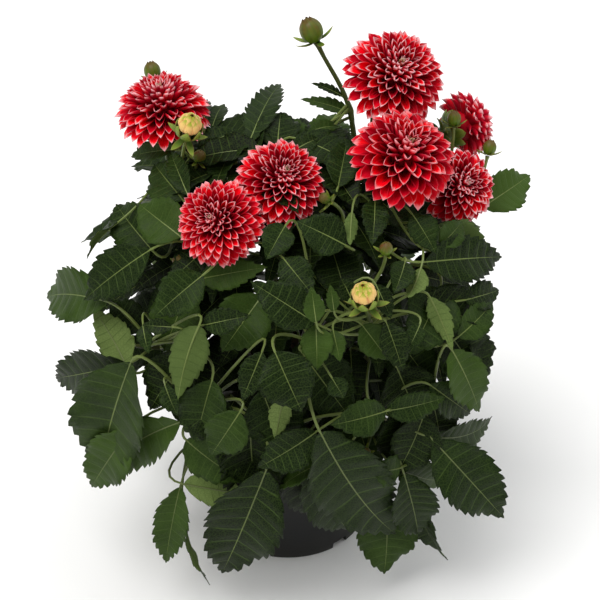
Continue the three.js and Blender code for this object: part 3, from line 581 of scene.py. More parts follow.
def makeSoilBlock():  # a square grid drawn into a disc, then its edge pulled down to the base
    blank = gridBlank("soilTop", soil["cells"], soil["cells"])
    across, along = blankPlaces(blank)
    x, y = across, along * 2 - 1
    radius = np.maximum(np.abs(x), np.abs(y))
    length = np.hypot(x, y)
    scale = np.divide(radius, length, out=np.ones_like(radius), where=length > 0) * soil["radius"]
    x, y = x * scale, y * scale
    z = soilTop + soilHeight(x, y) - 0.4 * mm
    top = shapedCopy(blank, np.stack([x, y, z], 1))
    bpy.data.objects.remove(blank)
    editWhole(top)
    bpy.ops.mesh.region_to_loop()
    bpy.ops.mesh.extrude_region_move(TRANSFORM_OT_translate={"value": (0, 0, -soil["depth"])})
    share = soil["lowRadius"] / soil["radius"]
    bpy.ops.transform.resize(value=(share, share, 0), center_override=(0, 0, soilTop - soil["depth"]))
    bpy.ops.mesh.edge_face_add()
    bpy.ops.object.mode_set(mode="OBJECT")
    facesOut(top)
    return top


def makeCrumbs():
    draw = random.Random(5)
    deselectAll()
    bpy.ops.mesh.primitive_ico_sphere_add(subdivisions=1, radius=1)
    crumb = newest()
    places = np.array([v.co for v in crumb.data.vertices])
    crumbs = []
    for _ in range(soil["crumbs"]):
        turn = 2 * math.pi * draw.random()
        reach = soil["radius"] * 0.96 * math.sqrt(draw.random())
        spot = np.array((reach * math.cos(turn), reach * math.sin(turn)))
        size = (0.8 + 2.2 * draw.random() ** 2) * mm
        ragged = np.array([[0.75 + 0.5 * draw.random() for _ in range(3)] for _ in places])
        height = soilTop + soilHeight(*spot) + 0.1 * size
        crumbs.append(shapedCopy(crumb, places * ragged * size + np.array((*spot, height))))
    bpy.data.objects.remove(crumb)
    return crumbs


def makeSoil():
    whole = joinPieces("soilSurface", [makeSoilBlock(), *makeCrumbs()])
    giveFinish(whole, pottingSoil)
    finishPiece(whole, "soil")


makePot()
makeSoil()
print("pot and soil made")

# Stems. via and place are [across, down] in the picture, with the depth y in millimetres beside them.
# faces is which way a head looks, as (across, up, toward the viewer).

bloomRows = [
    {"name": "1", "foot": (-32, 10), "via": ((196, 262), 10), "place": (163, 110), "depth": 20, "radius": 42,
     "faces": (-0.05, 0.8, 0.6), "frost": 0.78},
    {"name": "2", "foot": (-4, -10), "via": ((278, 300), -30), "place": (281, 182), "depth": -55,
     "radius": 40, "faces": (0.22, 0.42, 0.88), "frost": 0.8},
    {"name": "3", "foot": (-26, -14), "via": ((234, 320), -45), "place": (219, 222), "depth": -92,
     "radius": 38, "faces": (-0.3, 0.16, 0.94), "frost": 0.66},
    {"name": "4", "foot": (20, 22), "via": ((366, 240), 40), "place": (394, 76), "depth": 34, "radius": 45,
     "faces": (0.26, 0.4, 0.88), "frost": 0.9},
    {"name": "5", "foot": (26, -8), "via": ((372, 290), -10), "place": (403, 157), "depth": -45, "radius": 46,
     "faces": (0.25, 0.5, 0.83), "count": 135, "wide": 1.25, "frost": 0.55},
    {"name": "6", "foot": (50, 4), "via": ((428, 280), 10), "place": (458, 186), "depth": -8, "radius": 35,
     "faces": (0.4, 0.1, 0.91), "count": 150, "wide": 1.12},
    {"name": "7", "foot": (34, 38), "via": ((410, 210), 80), "place": (466, 124), "depth": 66, "radius": 31,
     "faces": (0.86, 0.36, -0.36), "count": 130, "wide": 1.15},
]
tallBud = {
    "foot": (6, 10), "via": [((352, 190), 50), ((349, 108), 56)], "place": (311, 30), "depth": 60,
    "radius": 11, "faces": (-0.4, 0.8, 0.5), "neck": 1.4,
}
frontBud = {
    "foot": (32, -30), "via": [((372, 350), -95)], "place": (364, 293), "depth": -150,
    "radius": 11, "faces": (-0.1, 0.5, 0.85), "neck": 1.5, "swell": 1.2,
}
shootRows = [
    {"name": "front", "foot": (4, -42), "place": (316, 330), "sink": 30},
    {"name": "front_left", "foot": (-30, -42), "place": (192, 412), "sink": 34},
    {"name": "front_right", "foot": (44, -26), "place": (384, 418), "sink": 34},
    {"name": "left", "foot": (-54, -6), "place": (138, 346), "sink": 34},
    {"name": "right", "foot": (60, -14), "place": (436, 400), "sink": 36},
    {"name": "back_left", "foot": (-34, 44), "end": (-104, 92, 318)},
    {"name": "back", "foot": (-4, 58), "end": (-6, 138, 330)},
    {"name": "back_right", "foot": (26, 60), "end": (98, 104, 312)},
]
sideBudRows = [
    {"on": "bloom_1", "start": 0.78, "place": (153, 74), "depth": 78, "radius": 8, "faces": (-0.2, 0.9, 0.3)},
    {"on": "bloom_1", "start": 0.72, "place": (199, 158), "depth": -20, "radius": 6, "faces": (0.2, 0.5, 0.8)},
    {"on": "bloom_3", "start": 0.6, "place": (230, 164), "depth": -8, "radius": 7, "faces": (0.1, 0.7, 0.6)},
    {"on": "bloom_6", "start": 0.72, "place": (454, 121), "depth": 34, "radius": 6.5, "faces": (0, 0.9, 0.4)},
    {"on": "bloom_6", "start": 0.7, "place": (489, 150), "depth": 30, "radius": 6.5, "faces": (0.2, 0.9, 0.3)},
    {"on": "front", "start": 0.8, "place": (386, 250), "depth": -120, "radius": 6, "faces": (0, 0.5, 0.8)},
    {"on": "bloom_2", "start": 0.6, "place": (326, 199), "depth": -80, "radius": 5, "faces": (-0.6, 0.3, 0.7)},
    {"on": "bloom_3", "start": 0.5, "place": (180, 262), "depth": -80, "radius": 6, "faces": (-0.3, 0.5, 0.8)},
    {"on": "front_right", "start": 0.8, "place": (365, 453), "depth": -140, "radius": 5.5,
     "faces": (0, 0.2, 0.9)},
]
openingSideBud = {
    "on": "bloom_1", "start": 0.75, "place": (190, 124), "depth": -40, "radius": 10, "faces": (0.2, 0.5, 0.84),
    "swell": 1.3,
}

stemShape = {
    "depth": 14 * mm, "rise": 14 * mm, "radius": 3.8 * mm, "neck": 1.9 * mm, "steps": 40, "core": 0.5,
    "gap": 0.3 * mm, "stalk": 1.3 * mm, "sideStalk": 1.6 * mm,
}
calyxRings = [(-11, 2.5), (-9, 3.4), (-7, 5.4), (-5, 7.65), (-2.5, 8.7), (0, 9)]
rootShifts = [0, -0.1, 0.1, -0.05, 0.05, -0.15, -0.2]
depthShifts = [0, 8, -8, 16, 26, -15, 38, 52]
stems = {}


def addStem(key, node, foot, through, axis, rings):  # rings: (past the curve's end, radius), millimetres
    foot = np.array(foot) * mm
    rise = np.array((*foot, soilTop + stemShape["rise"]))
    curve = StemCurve([rise, *through])
    line = [(np.array((*foot, soilTop - stemShape["depth"])), stemShape["radius"])]
    for share in np.linspace(0, 1, stemShape["steps"], endpoint=False):
        radius = stemShape["radius"] + (stemShape["neck"] - stemShape["radius"]) * share
        line.append((curve.at(share), radius))
    end = curve.at(1)
    for past, radius in rings:
        line.append((end + axis * past * mm, radius * mm))
    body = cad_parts[node]
    stems[key] = {
        "node": node, "curve": curve, "stem": line, "stalks": [], "blades": [], "scales": [],
        "surface": BVHTree.FromPolygons(
            [v.co for v in body.data.vertices], [tuple(p.vertices) for p in body.data.polygons]),
    }


def offSurface(stem, places):  # how far points lie from a node's solid, on average
    return sum(stem["surface"].find_nearest(Vector(p))[3] for p in places) / len(places)


for row in bloomRows:
    axis = direction(*row["faces"])
    radius = row["radius"] * mm
    row["axis"] = axis
    row["middle"] = atDepth(row["place"], row["depth"]) - axis * 0.12 * radius
    end = row["middle"] - axis * (stemShape["core"] * radius + stemShape["gap"])
    through = [atDepth(*row["via"]), end - axis * 34 * mm, end - axis * 12 * mm]
    rings = [(past + 12, wide) for past, wide in calyxRings]
    addStem(f"bloom_{row['name']}", f"stem_bloom_{row['name']}", row["foot"], through, axis, rings)


def budTop(bud, axis):
    return atDepth(bud["place"], bud["depth"]) - axis * 0.4 * bud["radius"] * mm


def addBudStem(key, node, bud, rings):
    axis = direction(*bud["faces"])
    base = budTop(bud, axis) - axis * bud["neck"] * bud["radius"] * mm
    addStem(key, node, bud["foot"], [*(atDepth(*via) for via in bud["via"]), base], axis, rings)


addBudStem("tall", "stem_tall_bud", tallBud, [(3, 2.4), (7, 3.4)])
addBudStem("bud_front", "stem_bud_front", frontBud, [(4, 2.6), (8, 4)])
for row in shootRows:
    end = np.array(row["end"]) * mm if "end" in row else onCanopy(row["place"], row["sink"])
    foot = np.array((*row["foot"], soilTop / mm)) * mm
    bow = foot + (end - foot) * 0.45 + upward * 22 * mm
    tipAxis = unit(end - bow)
    addStem(row["name"], f"stem_{row['name']}", row["foot"], [bow, end], tipAxis, [(2, 1.6), (5, 0.8)])

# Petals, bracts and scales: each is a grid blank put in place by one rule

petalBlank = gridBlank("petal", 6, 8)
scaleBlank = gridBlank("scale", 6, 6)


def headFrame(middle, axis):  # turns a head's own frame, its axis up, into place
    turn = np.array(Vector((0, 0, 1)).rotation_difference(Vector(axis)).to_matrix())
    return lambda places: places @ turn.T + middle


def petalPlaces(blank, petal):
    across, along = blankPlaces(blank)
    out = np.array((math.cos(petal["turn"]), math.sin(petal["turn"]), 0))
    side = np.array((-out[1], out[0], 0))
    spot = lambda rz: out * rz[0] + upward * rz[1]
    start, end = np.array(petal["from"]), np.array(petal["to"])
    middle = (start + end) / 2 + np.array(petal["bow"])
    curve = (spot(start), spot(middle), spot(end))
    centre = bezier(curve, along)
    heading = bezierAlong(curve, along)
    inner = np.cross(heading, side)
    widest, rootShare = petal["widest"], petal["rootShare"]
    rising = rootShare + (1 - rootShare) * np.sin(math.pi / 2 * np.minimum(along / widest, 1))
    past = np.clip((along - widest) / (1 - widest), 0, 1)
    share = rising * (1 - past ** petal["blunt"]) ** 0.7
    roll = (petal["roll"][0] + (petal["roll"][1] - petal["roll"][0]) * along) * degree
    ring = petal["width"] * share / 2 / np.sin(np.minimum(roll / 2, math.pi / 2))
    turned = roll * across / 2
    aside, lift = ring * np.sin(turned), ring * (1 - np.cos(turned))
    twist = petal.get("twist", 0) * along
    turn, tilt = np.cos(twist), np.sin(twist)
    aside, lift = aside * turn - lift * tilt, aside * tilt + lift * turn
    wave = petal.get("wave", 0) * petal["width"] * np.sin(7 * along + 9 * petal["turn"]) * across ** 2
    return centre + side * aside[:, None] + inner * (lift + wave)[:, None]


# Rows of a bloom of radius 1: lean from the axis, reach, bow and how far the edges roll in, root and tip
petalTable = {
    "lean": (4, 13, 33, 55, 77, 99, 110),
    "reach": (0.8, 0.83, 0.9, 0.97, 1.01, 1.05, 1.0),
    "bow": (0, -0.03, -0.05, -0.02, 0.05, 0.1, 0.12),
    "rootRoll": (330, 320, 290, 250, 220, 200, 190),
    "tipRoll": (240, 230, 200, 170, 150, 140, 130),
    "width": (0.08, 0.1, 0.135, 0.175, 0.205, 0.22, 0.21),
}
goldenTurn = 137.508 * degree
bloomShape = {
    "count": 185, "root": 0.32, "widestLean": 108, "crowding": 0.8, "frost": 0.95, "thickness": 0.35 * mm,
    "petal": {"rootShare": 0.5, "widest": 0.6, "blunt": 2.4, "wave": 0.04},
}


def bloomPetal(row, draw, i, lean):
    radius = row["radius"] * mm
    read = lambda name: float(np.interp(lean, petalTable["lean"], petalTable[name]))
    leaned = (lean + 8 * (draw.random() - 0.5)) * degree
    heading = np.array((math.sin(leaned), math.cos(leaned)))
    reach = read("reach") * (0.94 + 0.09 * draw.random())
    bow = read("bow") + 0.03 * (draw.random() - 0.5)
    return {
        "turn": i * goldenTurn + 0.12 * (draw.random() - 0.5),
        "from": heading * bloomShape["root"] * radius,
        "to": heading * reach * radius,
        "bow": np.array((-heading[1], heading[0])) * bow * radius,
        "width": read("width") * radius * row.get("wide", 1) * (0.92 + 0.16 * draw.random()),
        "roll": (read("rootRoll"), read("tipRoll") * (0.85 + 0.3 * draw.random())),
        "twist": 0.5 * (draw.random() - 0.5),
        **bloomShape["petal"],
    }


def makeBloomCore(row):
    deselectAll()
    radius = stemShape["core"] * 0.96 * row["radius"] * mm
    bpy.ops.mesh.primitive_uv_sphere_add(segments=20, ring_count=10, radius=radius)
    core = newest()
    core.data.transform(Matrix.Translation(Vector(row["middle"])))
    giveTraits(core.data, tone=0.2, inner=0.6, frost=0.0)
    giveFinish(core, petalTop)
    smoothWhole(core)
    return core


def makeBloom(row, seed):
    draw = random.Random(seed)
    settle = headFrame(row["middle"], row["axis"])
    count = row.get("count", bloomShape["count"])
    frost = row.get("frost", bloomShape["frost"])
    petals = []
    for i in range(count):
        outward = (1 - (i + 0.5) / count) ** bloomShape["crowding"]
        petal = bloomPetal(row, draw, i, bloomShape["widestLean"] * outward)
        places = settle(petalPlaces(petalBlank, petal))
        petals.append(shapedCopy(petalBlank, places, tone=draw.random(), inner=1 - outward, frost=frost))
    name = f"petals_{row['name']}"
    whole = joinPieces(name, petals)
    mergeDoubles(whole)
    giveFinish(whole, petalUnder, petalTop)
    applyModifier(whole, "SOLIDIFY", thickness=bloomShape["thickness"], offset=0, material_offset=1)
    whole = joinPieces(name, [whole, makeBloomCore(row)])
    finishPiece(whole, f"bloom_{row['name']}")
    addCalyx(row, settle, draw)


def addScale(stem, settle, petal, skin):
    piece = shapedCopy(scaleBlank, settle(petalPlaces(scaleBlank, petal)), tone=0.5)
    stem["scales"].append((piece, skin))


# How the bracts and scales of each kind curl and taper
scaleLooks = {
    "calyx": {"roll": (60, 40), "rootShare": 0.7, "widest": 0.5, "blunt": 1.8},
    "lowerCalyx": {"roll": (90, 50), "rootShare": 0.6, "widest": 0.55, "blunt": 1.6},
    "budScale": {"roll": (110, 120), "rootShare": 0.6, "widest": 0.5, "blunt": 1.7},
    "openScale": {"roll": (80, 90), "rootShare": 0.6, "widest": 0.5, "blunt": 1.7},
    "bract": {"roll": (80, 50), "rootShare": 0.6, "widest": 0.45, "blunt": 1.5},
    "openPetal": {"roll": (110, 150), "rootShare": 0.7, "widest": 0.55, "blunt": 2.2, "wave": 0.03},
}


def ringTurn(k, count, play):
    return 2 * math.pi * (k + play) / count


def addCalyx(row, settle, draw):
    radius = row["radius"] * mm
    back = -stemShape["core"] * radius
    stem = stems[f"bloom_{row['name']}"]
    for k in range(9):
        addScale(stem, settle, {
            "turn": ringTurn(k, 9, 0.2 * draw.random()), "from": (7.6 * mm, back - 1.8 * mm),
            "to": (0.62 * radius, -0.27 * radius), "bow": (3 * mm, -3.2 * mm),
            "width": 0.36 * radius, **scaleLooks["calyx"],
        }, bractSkin)
    for k in range(6):
        addScale(stem, settle, {
            "turn": ringTurn(k, 6, 0.4 * draw.random()), "from": (4 * mm, back - 8 * mm),
            "to": ((17 + 3 * draw.random()) * mm, back - (9 + 5 * draw.random()) * mm),
            "bow": (0, 2.5 * mm), "width": 6 * mm, **scaleLooks["lowerCalyx"],
        }, bractSkin)


def budBall(settle, radius, segments, rings, size, rise=0):  # the body under the scales or petals
    deselectAll()
    bpy.ops.mesh.primitive_uv_sphere_add(segments=segments, ring_count=rings, radius=radius)
    ball = newest()
    places = np.array([v.co for v in ball.data.vertices]) * np.array(size) + upward * rise * radius
    piece = shapedCopy(ball, settle(places), tone=0.4)
    bpy.data.objects.remove(ball)
    smoothWhole(piece)
    return piece


def makeClosedBud(stem, middle, axis, radius, seed):
    draw = random.Random(seed)
    settle = headFrame(middle + axis * 0.35 * radius, axis)
    stem["scales"].append((budBall(settle, radius, 20, 12, (0.94, 0.94, 1.08)), budSkin))
    for layer, (count, top) in enumerate(((5, 1), (6, 1.16))):
        for k in range(count):
            addScale(stem, settle, {
                "turn": ringTurn(k, count, 0.5 * layer + 0.15 * draw.random()),
                "from": (0.42 * radius, -0.98 * radius), "to": ((0.12 + 0.2 * layer) * radius, top * radius),
                "bow": ((1.02 + 0.03 * layer) * 0.92 * radius, 0),
                "width": 1.18 * radius, **scaleLooks["budScale"],
            }, budSkin)
    for k in range(5):
        reach = 1.5 + 0.5 * draw.random()
        addScale(stem, settle, {
            "turn": ringTurn(k, 5, 0.3 * draw.random()), "from": (0.3 * radius, -1.02 * radius),
            "to": (reach * radius, (-0.9 + 0.8 * draw.random()) * radius),
            "bow": (0.1 * radius, -0.35 * radius), "width": 0.5 * radius, **scaleLooks["bract"],
        }, bractSkin)


openingLayers = [  # petals from the middle out: how many, how high their tips and how far these stand apart
    {"count": 5, "top": 1.28, "lean": 0.1}, {"count": 7, "top": 1.18, "lean": 0.16},
    {"count": 8, "top": 0.98, "lean": 0.34},
]


def openingPetals(settle, radius, draw):
    for layer, row in enumerate(openingLayers):
        for k in range(row["count"]):
            petal = {
                "turn": ringTurn(k, row["count"], 0.4 * layer + 0.2 * draw.random()),
                "from": (0.45 * radius, -0.2 * radius),
                "to": (row["lean"] * radius, (row["top"] + 0.06 * draw.random()) * radius),
                "bow": ((0.52 + 0.15 * layer) * radius, (0.1 - 0.1 * layer) * radius),
                "width": (0.62 + 0.06 * layer) * radius, **scaleLooks["openPetal"],
            }
            yield shapedCopy(petalBlank, settle(petalPlaces(petalBlank, petal)), tone=draw.random())


def makeOpeningBud(stem, name, node, bud, middle, axis, seed):
    draw = random.Random(seed)
    radius = bud["radius"] * bud["swell"] * mm
    settle = headFrame(middle, axis)
    petals = list(openingPetals(settle, radius, draw))
    ball = budBall(settle, radius, 18, 10, (0.72, 0.72, 0.8), 0.25)
    whole = joinPieces(name, petals)
    mergeDoubles(whole)
    applyModifier(whole, "SOLIDIFY", thickness=0.4 * mm, offset=0)
    whole = joinPieces(name, [whole, ball])
    giveFinish(whole, peachPetal)
    finishPiece(whole, node)
    for k in range(7):
        addScale(stem, settle, {
            "turn": ringTurn(k, 7, 0.2 * draw.random()), "from": (0.3 * radius, -0.95 * radius),
            "to": (0.86 * radius, (0.25 + 0.2 * draw.random()) * radius),
            "bow": (0.62 * radius, -0.38 * radius), "width": 0.8 * radius, **scaleLooks["openScale"],
        }, bractSkin)
    for k in range(5):
        addScale(stem, settle, {
            "turn": ringTurn(k, 5, 0.3 * draw.random()), "from": (0.2 * radius, -1.05 * radius),
            "to": ((1.3 + 0.4 * draw.random()) * radius, -1.1 * radius),
            "bow": (0, -0.3 * radius), "width": 0.5 * radius, **scaleLooks["bract"],
        }, bractSkin)


def addSideStalk(bud, middle, axis):
    stem = stems[bud["on"]]
    radius = bud["radius"] * mm
    base = middle - axis * 1.4 * radius
    routes = []
    for shift in rootShifts:
        root = stem["curve"].at(bud["start"] + shift)
        low = base - axis * 0.45 * np.linalg.norm(root - base)
        routes.append((root, low, base))
    route = min(routes, key=lambda r: offSurface(stem, bezier(r, np.linspace(0.25, 0.9, 8))))
    line = [(place, stemShape["sideStalk"]) for place in bezier(route, np.linspace(0, 1, 14))]
    line.append((middle - axis * 0.9 * radius, 0.34 * radius))
    stem["stalks"].append(line)
    return stem


for i, row in enumerate(bloomRows):
    makeBloom(row, 40 + i)
    print("bloom", row["name"], "made")

axis = direction(*tallBud["faces"])
makeClosedBud(stems["tall"], budTop(tallBud, axis), axis, tallBud["radius"] * mm, 3)
axis = direction(*frontBud["faces"])
middle = budTop(frontBud, axis)
makeOpeningBud(stems["bud_front"], "opening_bud_front", "bud_front", frontBud, middle, axis, 4)
for i, bud in enumerate(sideBudRows):
    axis = direction(*bud["faces"])
    middle = atDepth(bud["place"], bud["depth"])
    makeClosedBud(addSideStalk(bud, middle, axis), middle, axis, bud["radius"] * mm, 60 + i)
axis = direction(*openingSideBud["faces"])
middle = budTop(openingSideBud, axis)
stem = addSideStalk(openingSideBud, middle, axis)
makeOpeningBud(stem, "opening_bud_left", "bud_left", openingSideBud, middle, axis, 5)
print("buds made")

# Leaves: base and tip in the picture, then the width and how far each end lies inside the canopy, both in
# millimetres. back shows the paler underside to the viewer, and roll turns the blade about its length.

leafRows = [
    ((131, 362), (102, 469), 84, (8, 0), {"arch": 0.1}),
    ((266, 470), (222, 573), 76, (6, 0), {"arch": 0.12}),
    ((320, 432), (396, 534), 76, (2, 0), {"arch": 0.1, "bend": 0.05}),
    ((275, 352), (302, 412), 54, (4, -4), {}),
    ((316, 323), (250, 281), 42, (6, -4), {}),
    ((316, 325), (317, 370), 31, (4, -2), {}),
    ((316, 322), (311, 286), 20, (6, -2), {}),
    ((333, 330), (340, 362), 18, (10, 4), {}),
    ((199, 326), (178, 400), 38, (10, -4), {"back": True, "bend": -0.1}),
    ((203, 275), (154, 317), 42, (14, 4), {}),
    ((127, 364), (56, 378), 50, (14, 0), {}),
    ((108, 302), (47, 298), 54, (16, 0), {"bend": 0.08}),
    ((150, 250), (84, 300), 46, (20, 4), {}),
    ((126, 366), (93, 308), 40, (18, 10), {"back": True}),
    ((180, 422), (114, 474), 52, (14, 12), {"bend": 0.14}),
    ((184, 484), (250, 495), 40, (12, 2), {"back": True, "bend": -0.08}),
    ((180, 487), (166, 563), 38, (14, 6), {}),
    ((182, 500), (210, 585), 42, (8, 2), {"roll": 68}),
    ((186, 440), (245, 482), 44, (26, 18), {}),
    ((130, 430), (92, 487), 50, (30, 22), {}),
    ((240, 412), (211, 455), 42, (14, 8), {}),
    ((316, 432), (257, 468), 42, (12, 4), {}),
    ((283, 400), (275, 440), 22, (16, 10), {"back": True}),
    ((305, 470), (350, 530), 46, (24, 20), {}),
    ((325, 462), (276, 492), 26, (2, -2), {"roll": 70}),
    ((386, 411), (330, 425), 36, (16, 10), {}),
    ((386, 411), (446, 397), 30, (16, 8), {}),
    ((400, 468), (371, 471), 34, (12, 8), {}),
    ((404, 474), (418, 534), 50, (10, 4), {}),
    ((400, 470), (442, 479), 42, (14, 8), {}),
    ((410, 484), (448, 560), 40, (16, 10), {"roll": 62}),
    ((387, 500), (384, 574), 62, (14, 6), {}),
    ((434, 441), (504, 518), 60, (8, 0), {}),
    ((432, 437), (492, 416), 32, (10, 4), {"bend": 0.1}),
    ((430, 385), (470, 414), 36, (20, 14), {}),
    ((452, 350), (479, 412), 42, (10, 0), {}),
    ((470, 340), (490, 366), 30, (22, 16), {}),
    ((458, 337), (493, 302), 32, (16, 8), {}),
    ((430, 297), (453, 350), 22, (10, 4), {"back": True, "roll": 30}),
    ((440, 290), (408, 356), 58, (40, 30), {}),
    ((465, 300), (499, 290), 29, (20, 12), {}),
    ((425, 262), (502, 257), 46, (14, 2), {}),
    ((436, 226), (494, 256), 34, (12, 8), {"back": True, "roll": 45}),
    ((405, 262), (394, 294), 27, (10, 4), {}),
    ((421, 268), (408, 298), 22, (8, 4), {"back": True, "roll": 40}),
    ((376, 285), (391, 319), 20, (14, 10), {}),
    ((386, 322), (403, 372), 30, (12, 4), {}),
    ((362, 325), (388, 360), 32, (16, 12), {}),
    ((332, 378), (344, 398), 21, (12, 8), {}),
    ((352, 300), (341, 278), 20, (18, 14), {}),
    ((375, 200), (372, 246), 27, (10, 2), {}),
    ((345, 245), (296, 221), 40, (14, 8), {}),
    ((283, 258), (315, 298), 31, (8, 0), {}),
    ((285, 226), (266, 260), 31, (10, 4), {}),
    ((352, 212), (350, 246), 14, (14, 8), {"back": True}),
    ((412, 214), (436, 254), 30, (16, 12), {}),
    ((200, 279), (268, 267), 31, (14, 10), {}),
    ((204, 325), (251, 315), 26, (18, 14), {}),
    ((262, 352), (242, 401), 27, (14, 8), {}),
    ((140, 330), (112, 300), 40, (40, 34), {}),
    ((152, 250), (116, 204), 46, (34, 26), {}),
    ((181, 237), (139, 204), 46, (22, 12), {}),
    ((183, 200), (154, 164), 44, (16, 10), {}),
    ((188, 195), (170, 150), 23, (10, 4), {}),
    ((118, 222), (87, 259), 30, (14, 8), {"roll": 66}),
    ((176, 150), (131, 157), 25, (8, 2), {}),
    ((200, 150), (238, 130), 28, (14, 14), {}),
    ((249, 143), (281, 84), 33, (20, 20), {}),
    ((277, 150), (281, 112), 42, (36, 36), {}),
    ((308, 134), (342, 128), 16, (26, 26), {"bend": -0.16}),
    ((338, 187), (347, 140), 34, (20, 20), {}),
    ((212, 128), (224, 104), 22, (30, 30), {}),
    ((483, 207), (530, 175), 42, (30, 30), {"tone": 1.1}),
]
innerLeafRows = [  # larger leaves in the shade behind those
    ((300, 350), (352, 420), 58, (46, 40), {}),
    ((262, 296), (222, 352), 54, (48, 44), {}),
    ((330, 268), (372, 332), 52, (46, 44), {}),
    ((262, 390), (290, 456), 56, (46, 40), {}),
    ((350, 400), (372, 472), 58, (44, 38), {}),
    ((390, 330), (432, 386), 52, (46, 40), {}),
    ((212, 380), (196, 442), 50, (44, 38), {}),
    ((332, 200), (300, 252), 48, (50, 46), {}),
    ((190, 290), (164, 352), 52, (50, 44), {}),
]
tallLeafRows = [  # on the tall bud's stem, with the depth of each end
    ((350, 113), (300, 99), 17, (56, 62), {}),
    ((342, 96), (311, 83), 11, (57, 62), {}),
]
smallLeafRows = [  # young leaves between the others
    ((143, 325), (149, 354), 16, (8, 2), {}),
    ((172, 327), (142, 325), 16, (10, 4), {}),
    ((334, 311), (330, 284), 13, (6, 0), {}),
    ((165, 385), (178, 416), 20, (10, 4), {}),
    ((420, 324), (407, 351), 18, (8, 2), {}),
    ((205, 124), (206, 100), 16, (30, 30), {}),
    ((295, 150), (319, 138), 21, (26, 26), {}),
    ((440, 246), (462, 222), 26, (12, 8), {}),
    # The larger leaves below lie deep in the canopy; their low tone darkens them as painted shade
    ((250, 424), (258, 516), 62, (32, 24), {"tone": 0.1}),
    ((292, 440), (322, 524), 54, (36, 30), {"tone": 0}),
    ((214, 430), (292, 486), 48, (36, 30), {"tone": 0.1}),
    ((424, 414), (396, 474), 52, (32, 24), {"tone": 0.2}),
    ((440, 322), (484, 388), 58, (32, 20), {"tone": 0.2}),
    ((424, 296), (484, 330), 50, (36, 22), {"tone": 0.1}),
    ((186, 352), (150, 410), 48, (36, 28), {"tone": 0.1}),
    ((196, 392), (232, 446), 46, (34, 26), {"tone": 0.2}),
    ((396, 366), (418, 424), 56, (46, 42), {"tone": 0.05}),
    ((404, 408), (388, 466), 48, (48, 42), {"tone": 0.1}),
    ((430, 392), (440, 446), 46, (46, 38), {"tone": 0.05}),
]
backRows = [  # leaves round the back: height, how many, length and width
    (125, 6, 88, 62), (210, 6, 94, 62), (295, 6, 88, 56), (370, 4, 76, 48), (415, 4, 64, 40), (445, 3, 60, 38),
]
leafShape = {
    "arch": 0.13, "scale": 0.97, "fold": (5 * degree, 22 * degree), "sway": 0.05, "ripple": 0.028,
    "slant": 0.34, "quilt": 0.008, "toothFrom": 0.115, "toothTo": 0.95, "toothDepth": 0.6 * mm,
    "toothGrowth": 0.019, "toothSpacing": 15 * mm, "columns": 10, "thickness": 0.45 * mm,
    "matchGap": 0.25 * mm,
}
leafDraw = random.Random(17)
leafBlanks = {}


def bladeShare(t):  # half width along a blade, with a wedge at its base and a drawn-out tip
    peak = 0.38 ** 0.65 * 0.62 ** 1.06
    return t ** 0.65 * (1 - t) ** 1.06 / peak * (1 - 0.3 * (1 - t) ** 8) * (1 - 0.35 * t ** 9)


def bladeRowTable(teeth):  # how far along each row meets the edge, and how much of its tooth stands there
    rows = [(0, 1), (0.012, 1), (0.04, 1), (0.078, 1)]
    step = (leafShape["toothTo"] - leafShape["toothFrom"]) / teeth
    for k in range(teeth):
        start = leafShape["toothFrom"] + step * k
        rows += [(start, 0), (start + 0.42 * step, 0.66), (start + 0.84 * step, 1)]
    return rows + [(0.955, 0.35), (0.978, 0.7), (1, 1)]


def leafBlank(teeth):
    if teeth not in leafBlanks:
        rows = bladeRowTable(teeth)
        leafBlanks[teeth] = gridBlank(f"blade{teeth}", leafShape["columns"], len(rows) - 1)
    return leafBlanks[teeth]


def leafFrame(root, base, tip, facing, arch, bend):
    chord = tip - base
    length = np.linalg.norm(chord)
    across = unit(np.cross(chord, facing))
    up = unit(np.cross(across, chord))
    middle = (base + tip) / 2 + up * arch * length + across * bend * length
    start = unit(middle - base)
    stalk = (root, base - start * 0.4 * np.linalg.norm(root - base), base)
    return across, (base, middle, tip), stalk


def bladePlaces(across, curve, width, teeth, fold):
    blank = leafBlank(teeth)
    s, rowShare = blankPlaces(blank)
    table = np.array(bladeRowTable(teeth))
    rowIndex = rowShare * (len(table) - 1)
    edge = np.interp(rowIndex, np.arange(len(table)), table[:, 0])
    tooth = np.interp(rowIndex, np.arange(len(table)), table[:, 1])
    s = np.sign(s) * np.abs(s) ** 1.1
    away = np.abs(s)
    length = np.linalg.norm(curve[2] - curve[0])
    half = bladeShare(edge) * width / 2
    uneven = 1 + 0.25 * np.sin(2.6 * rowIndex + 4 * (s > 0) + width / mm)
    depth = (leafShape["toothDepth"] + leafShape["toothGrowth"] * length) * uneven
    half = half * 1.03 - np.minimum(depth, 0.45 * half) * (1 - tooth)
    slant = leafShape["slant"] * edge * (1 - edge) * (1 - away)
    point = 0.016 * (tooth - 0.4) * away ** 4 * (edge > 0.1)
    t = np.clip(edge - slant + point, 0, 1)
    along = bezierAlong(curve, t)
    side = unit(across - along * (along @ across)[:, None])
    up = np.cross(side, along)
    hand = (s > 0) * 1.0
    sway = leafShape["sway"] * width * np.sin(9 * edge + 2 * hand + width / mm) * away ** 1.5
    ripple = leafShape["ripple"] * width * np.sin(21 * edge + 3 * hand + 2 * width / mm) * away ** 2.5
    lane = 2 * math.pi * (leafFinish["sideVeins"] * rowShare + 0.25 * away)
    quilt = leafShape["quilt"] * width * np.cos(lane) * 4 * away * (1 - away)
    lift = away * half * math.sin(fold) + (sway + ripple) * np.minimum(1, half / (0.2 * width)) + quilt
    return bezier(curve, t) + side * (s * half * math.cos(fold))[:, None] + up * lift[:, None]


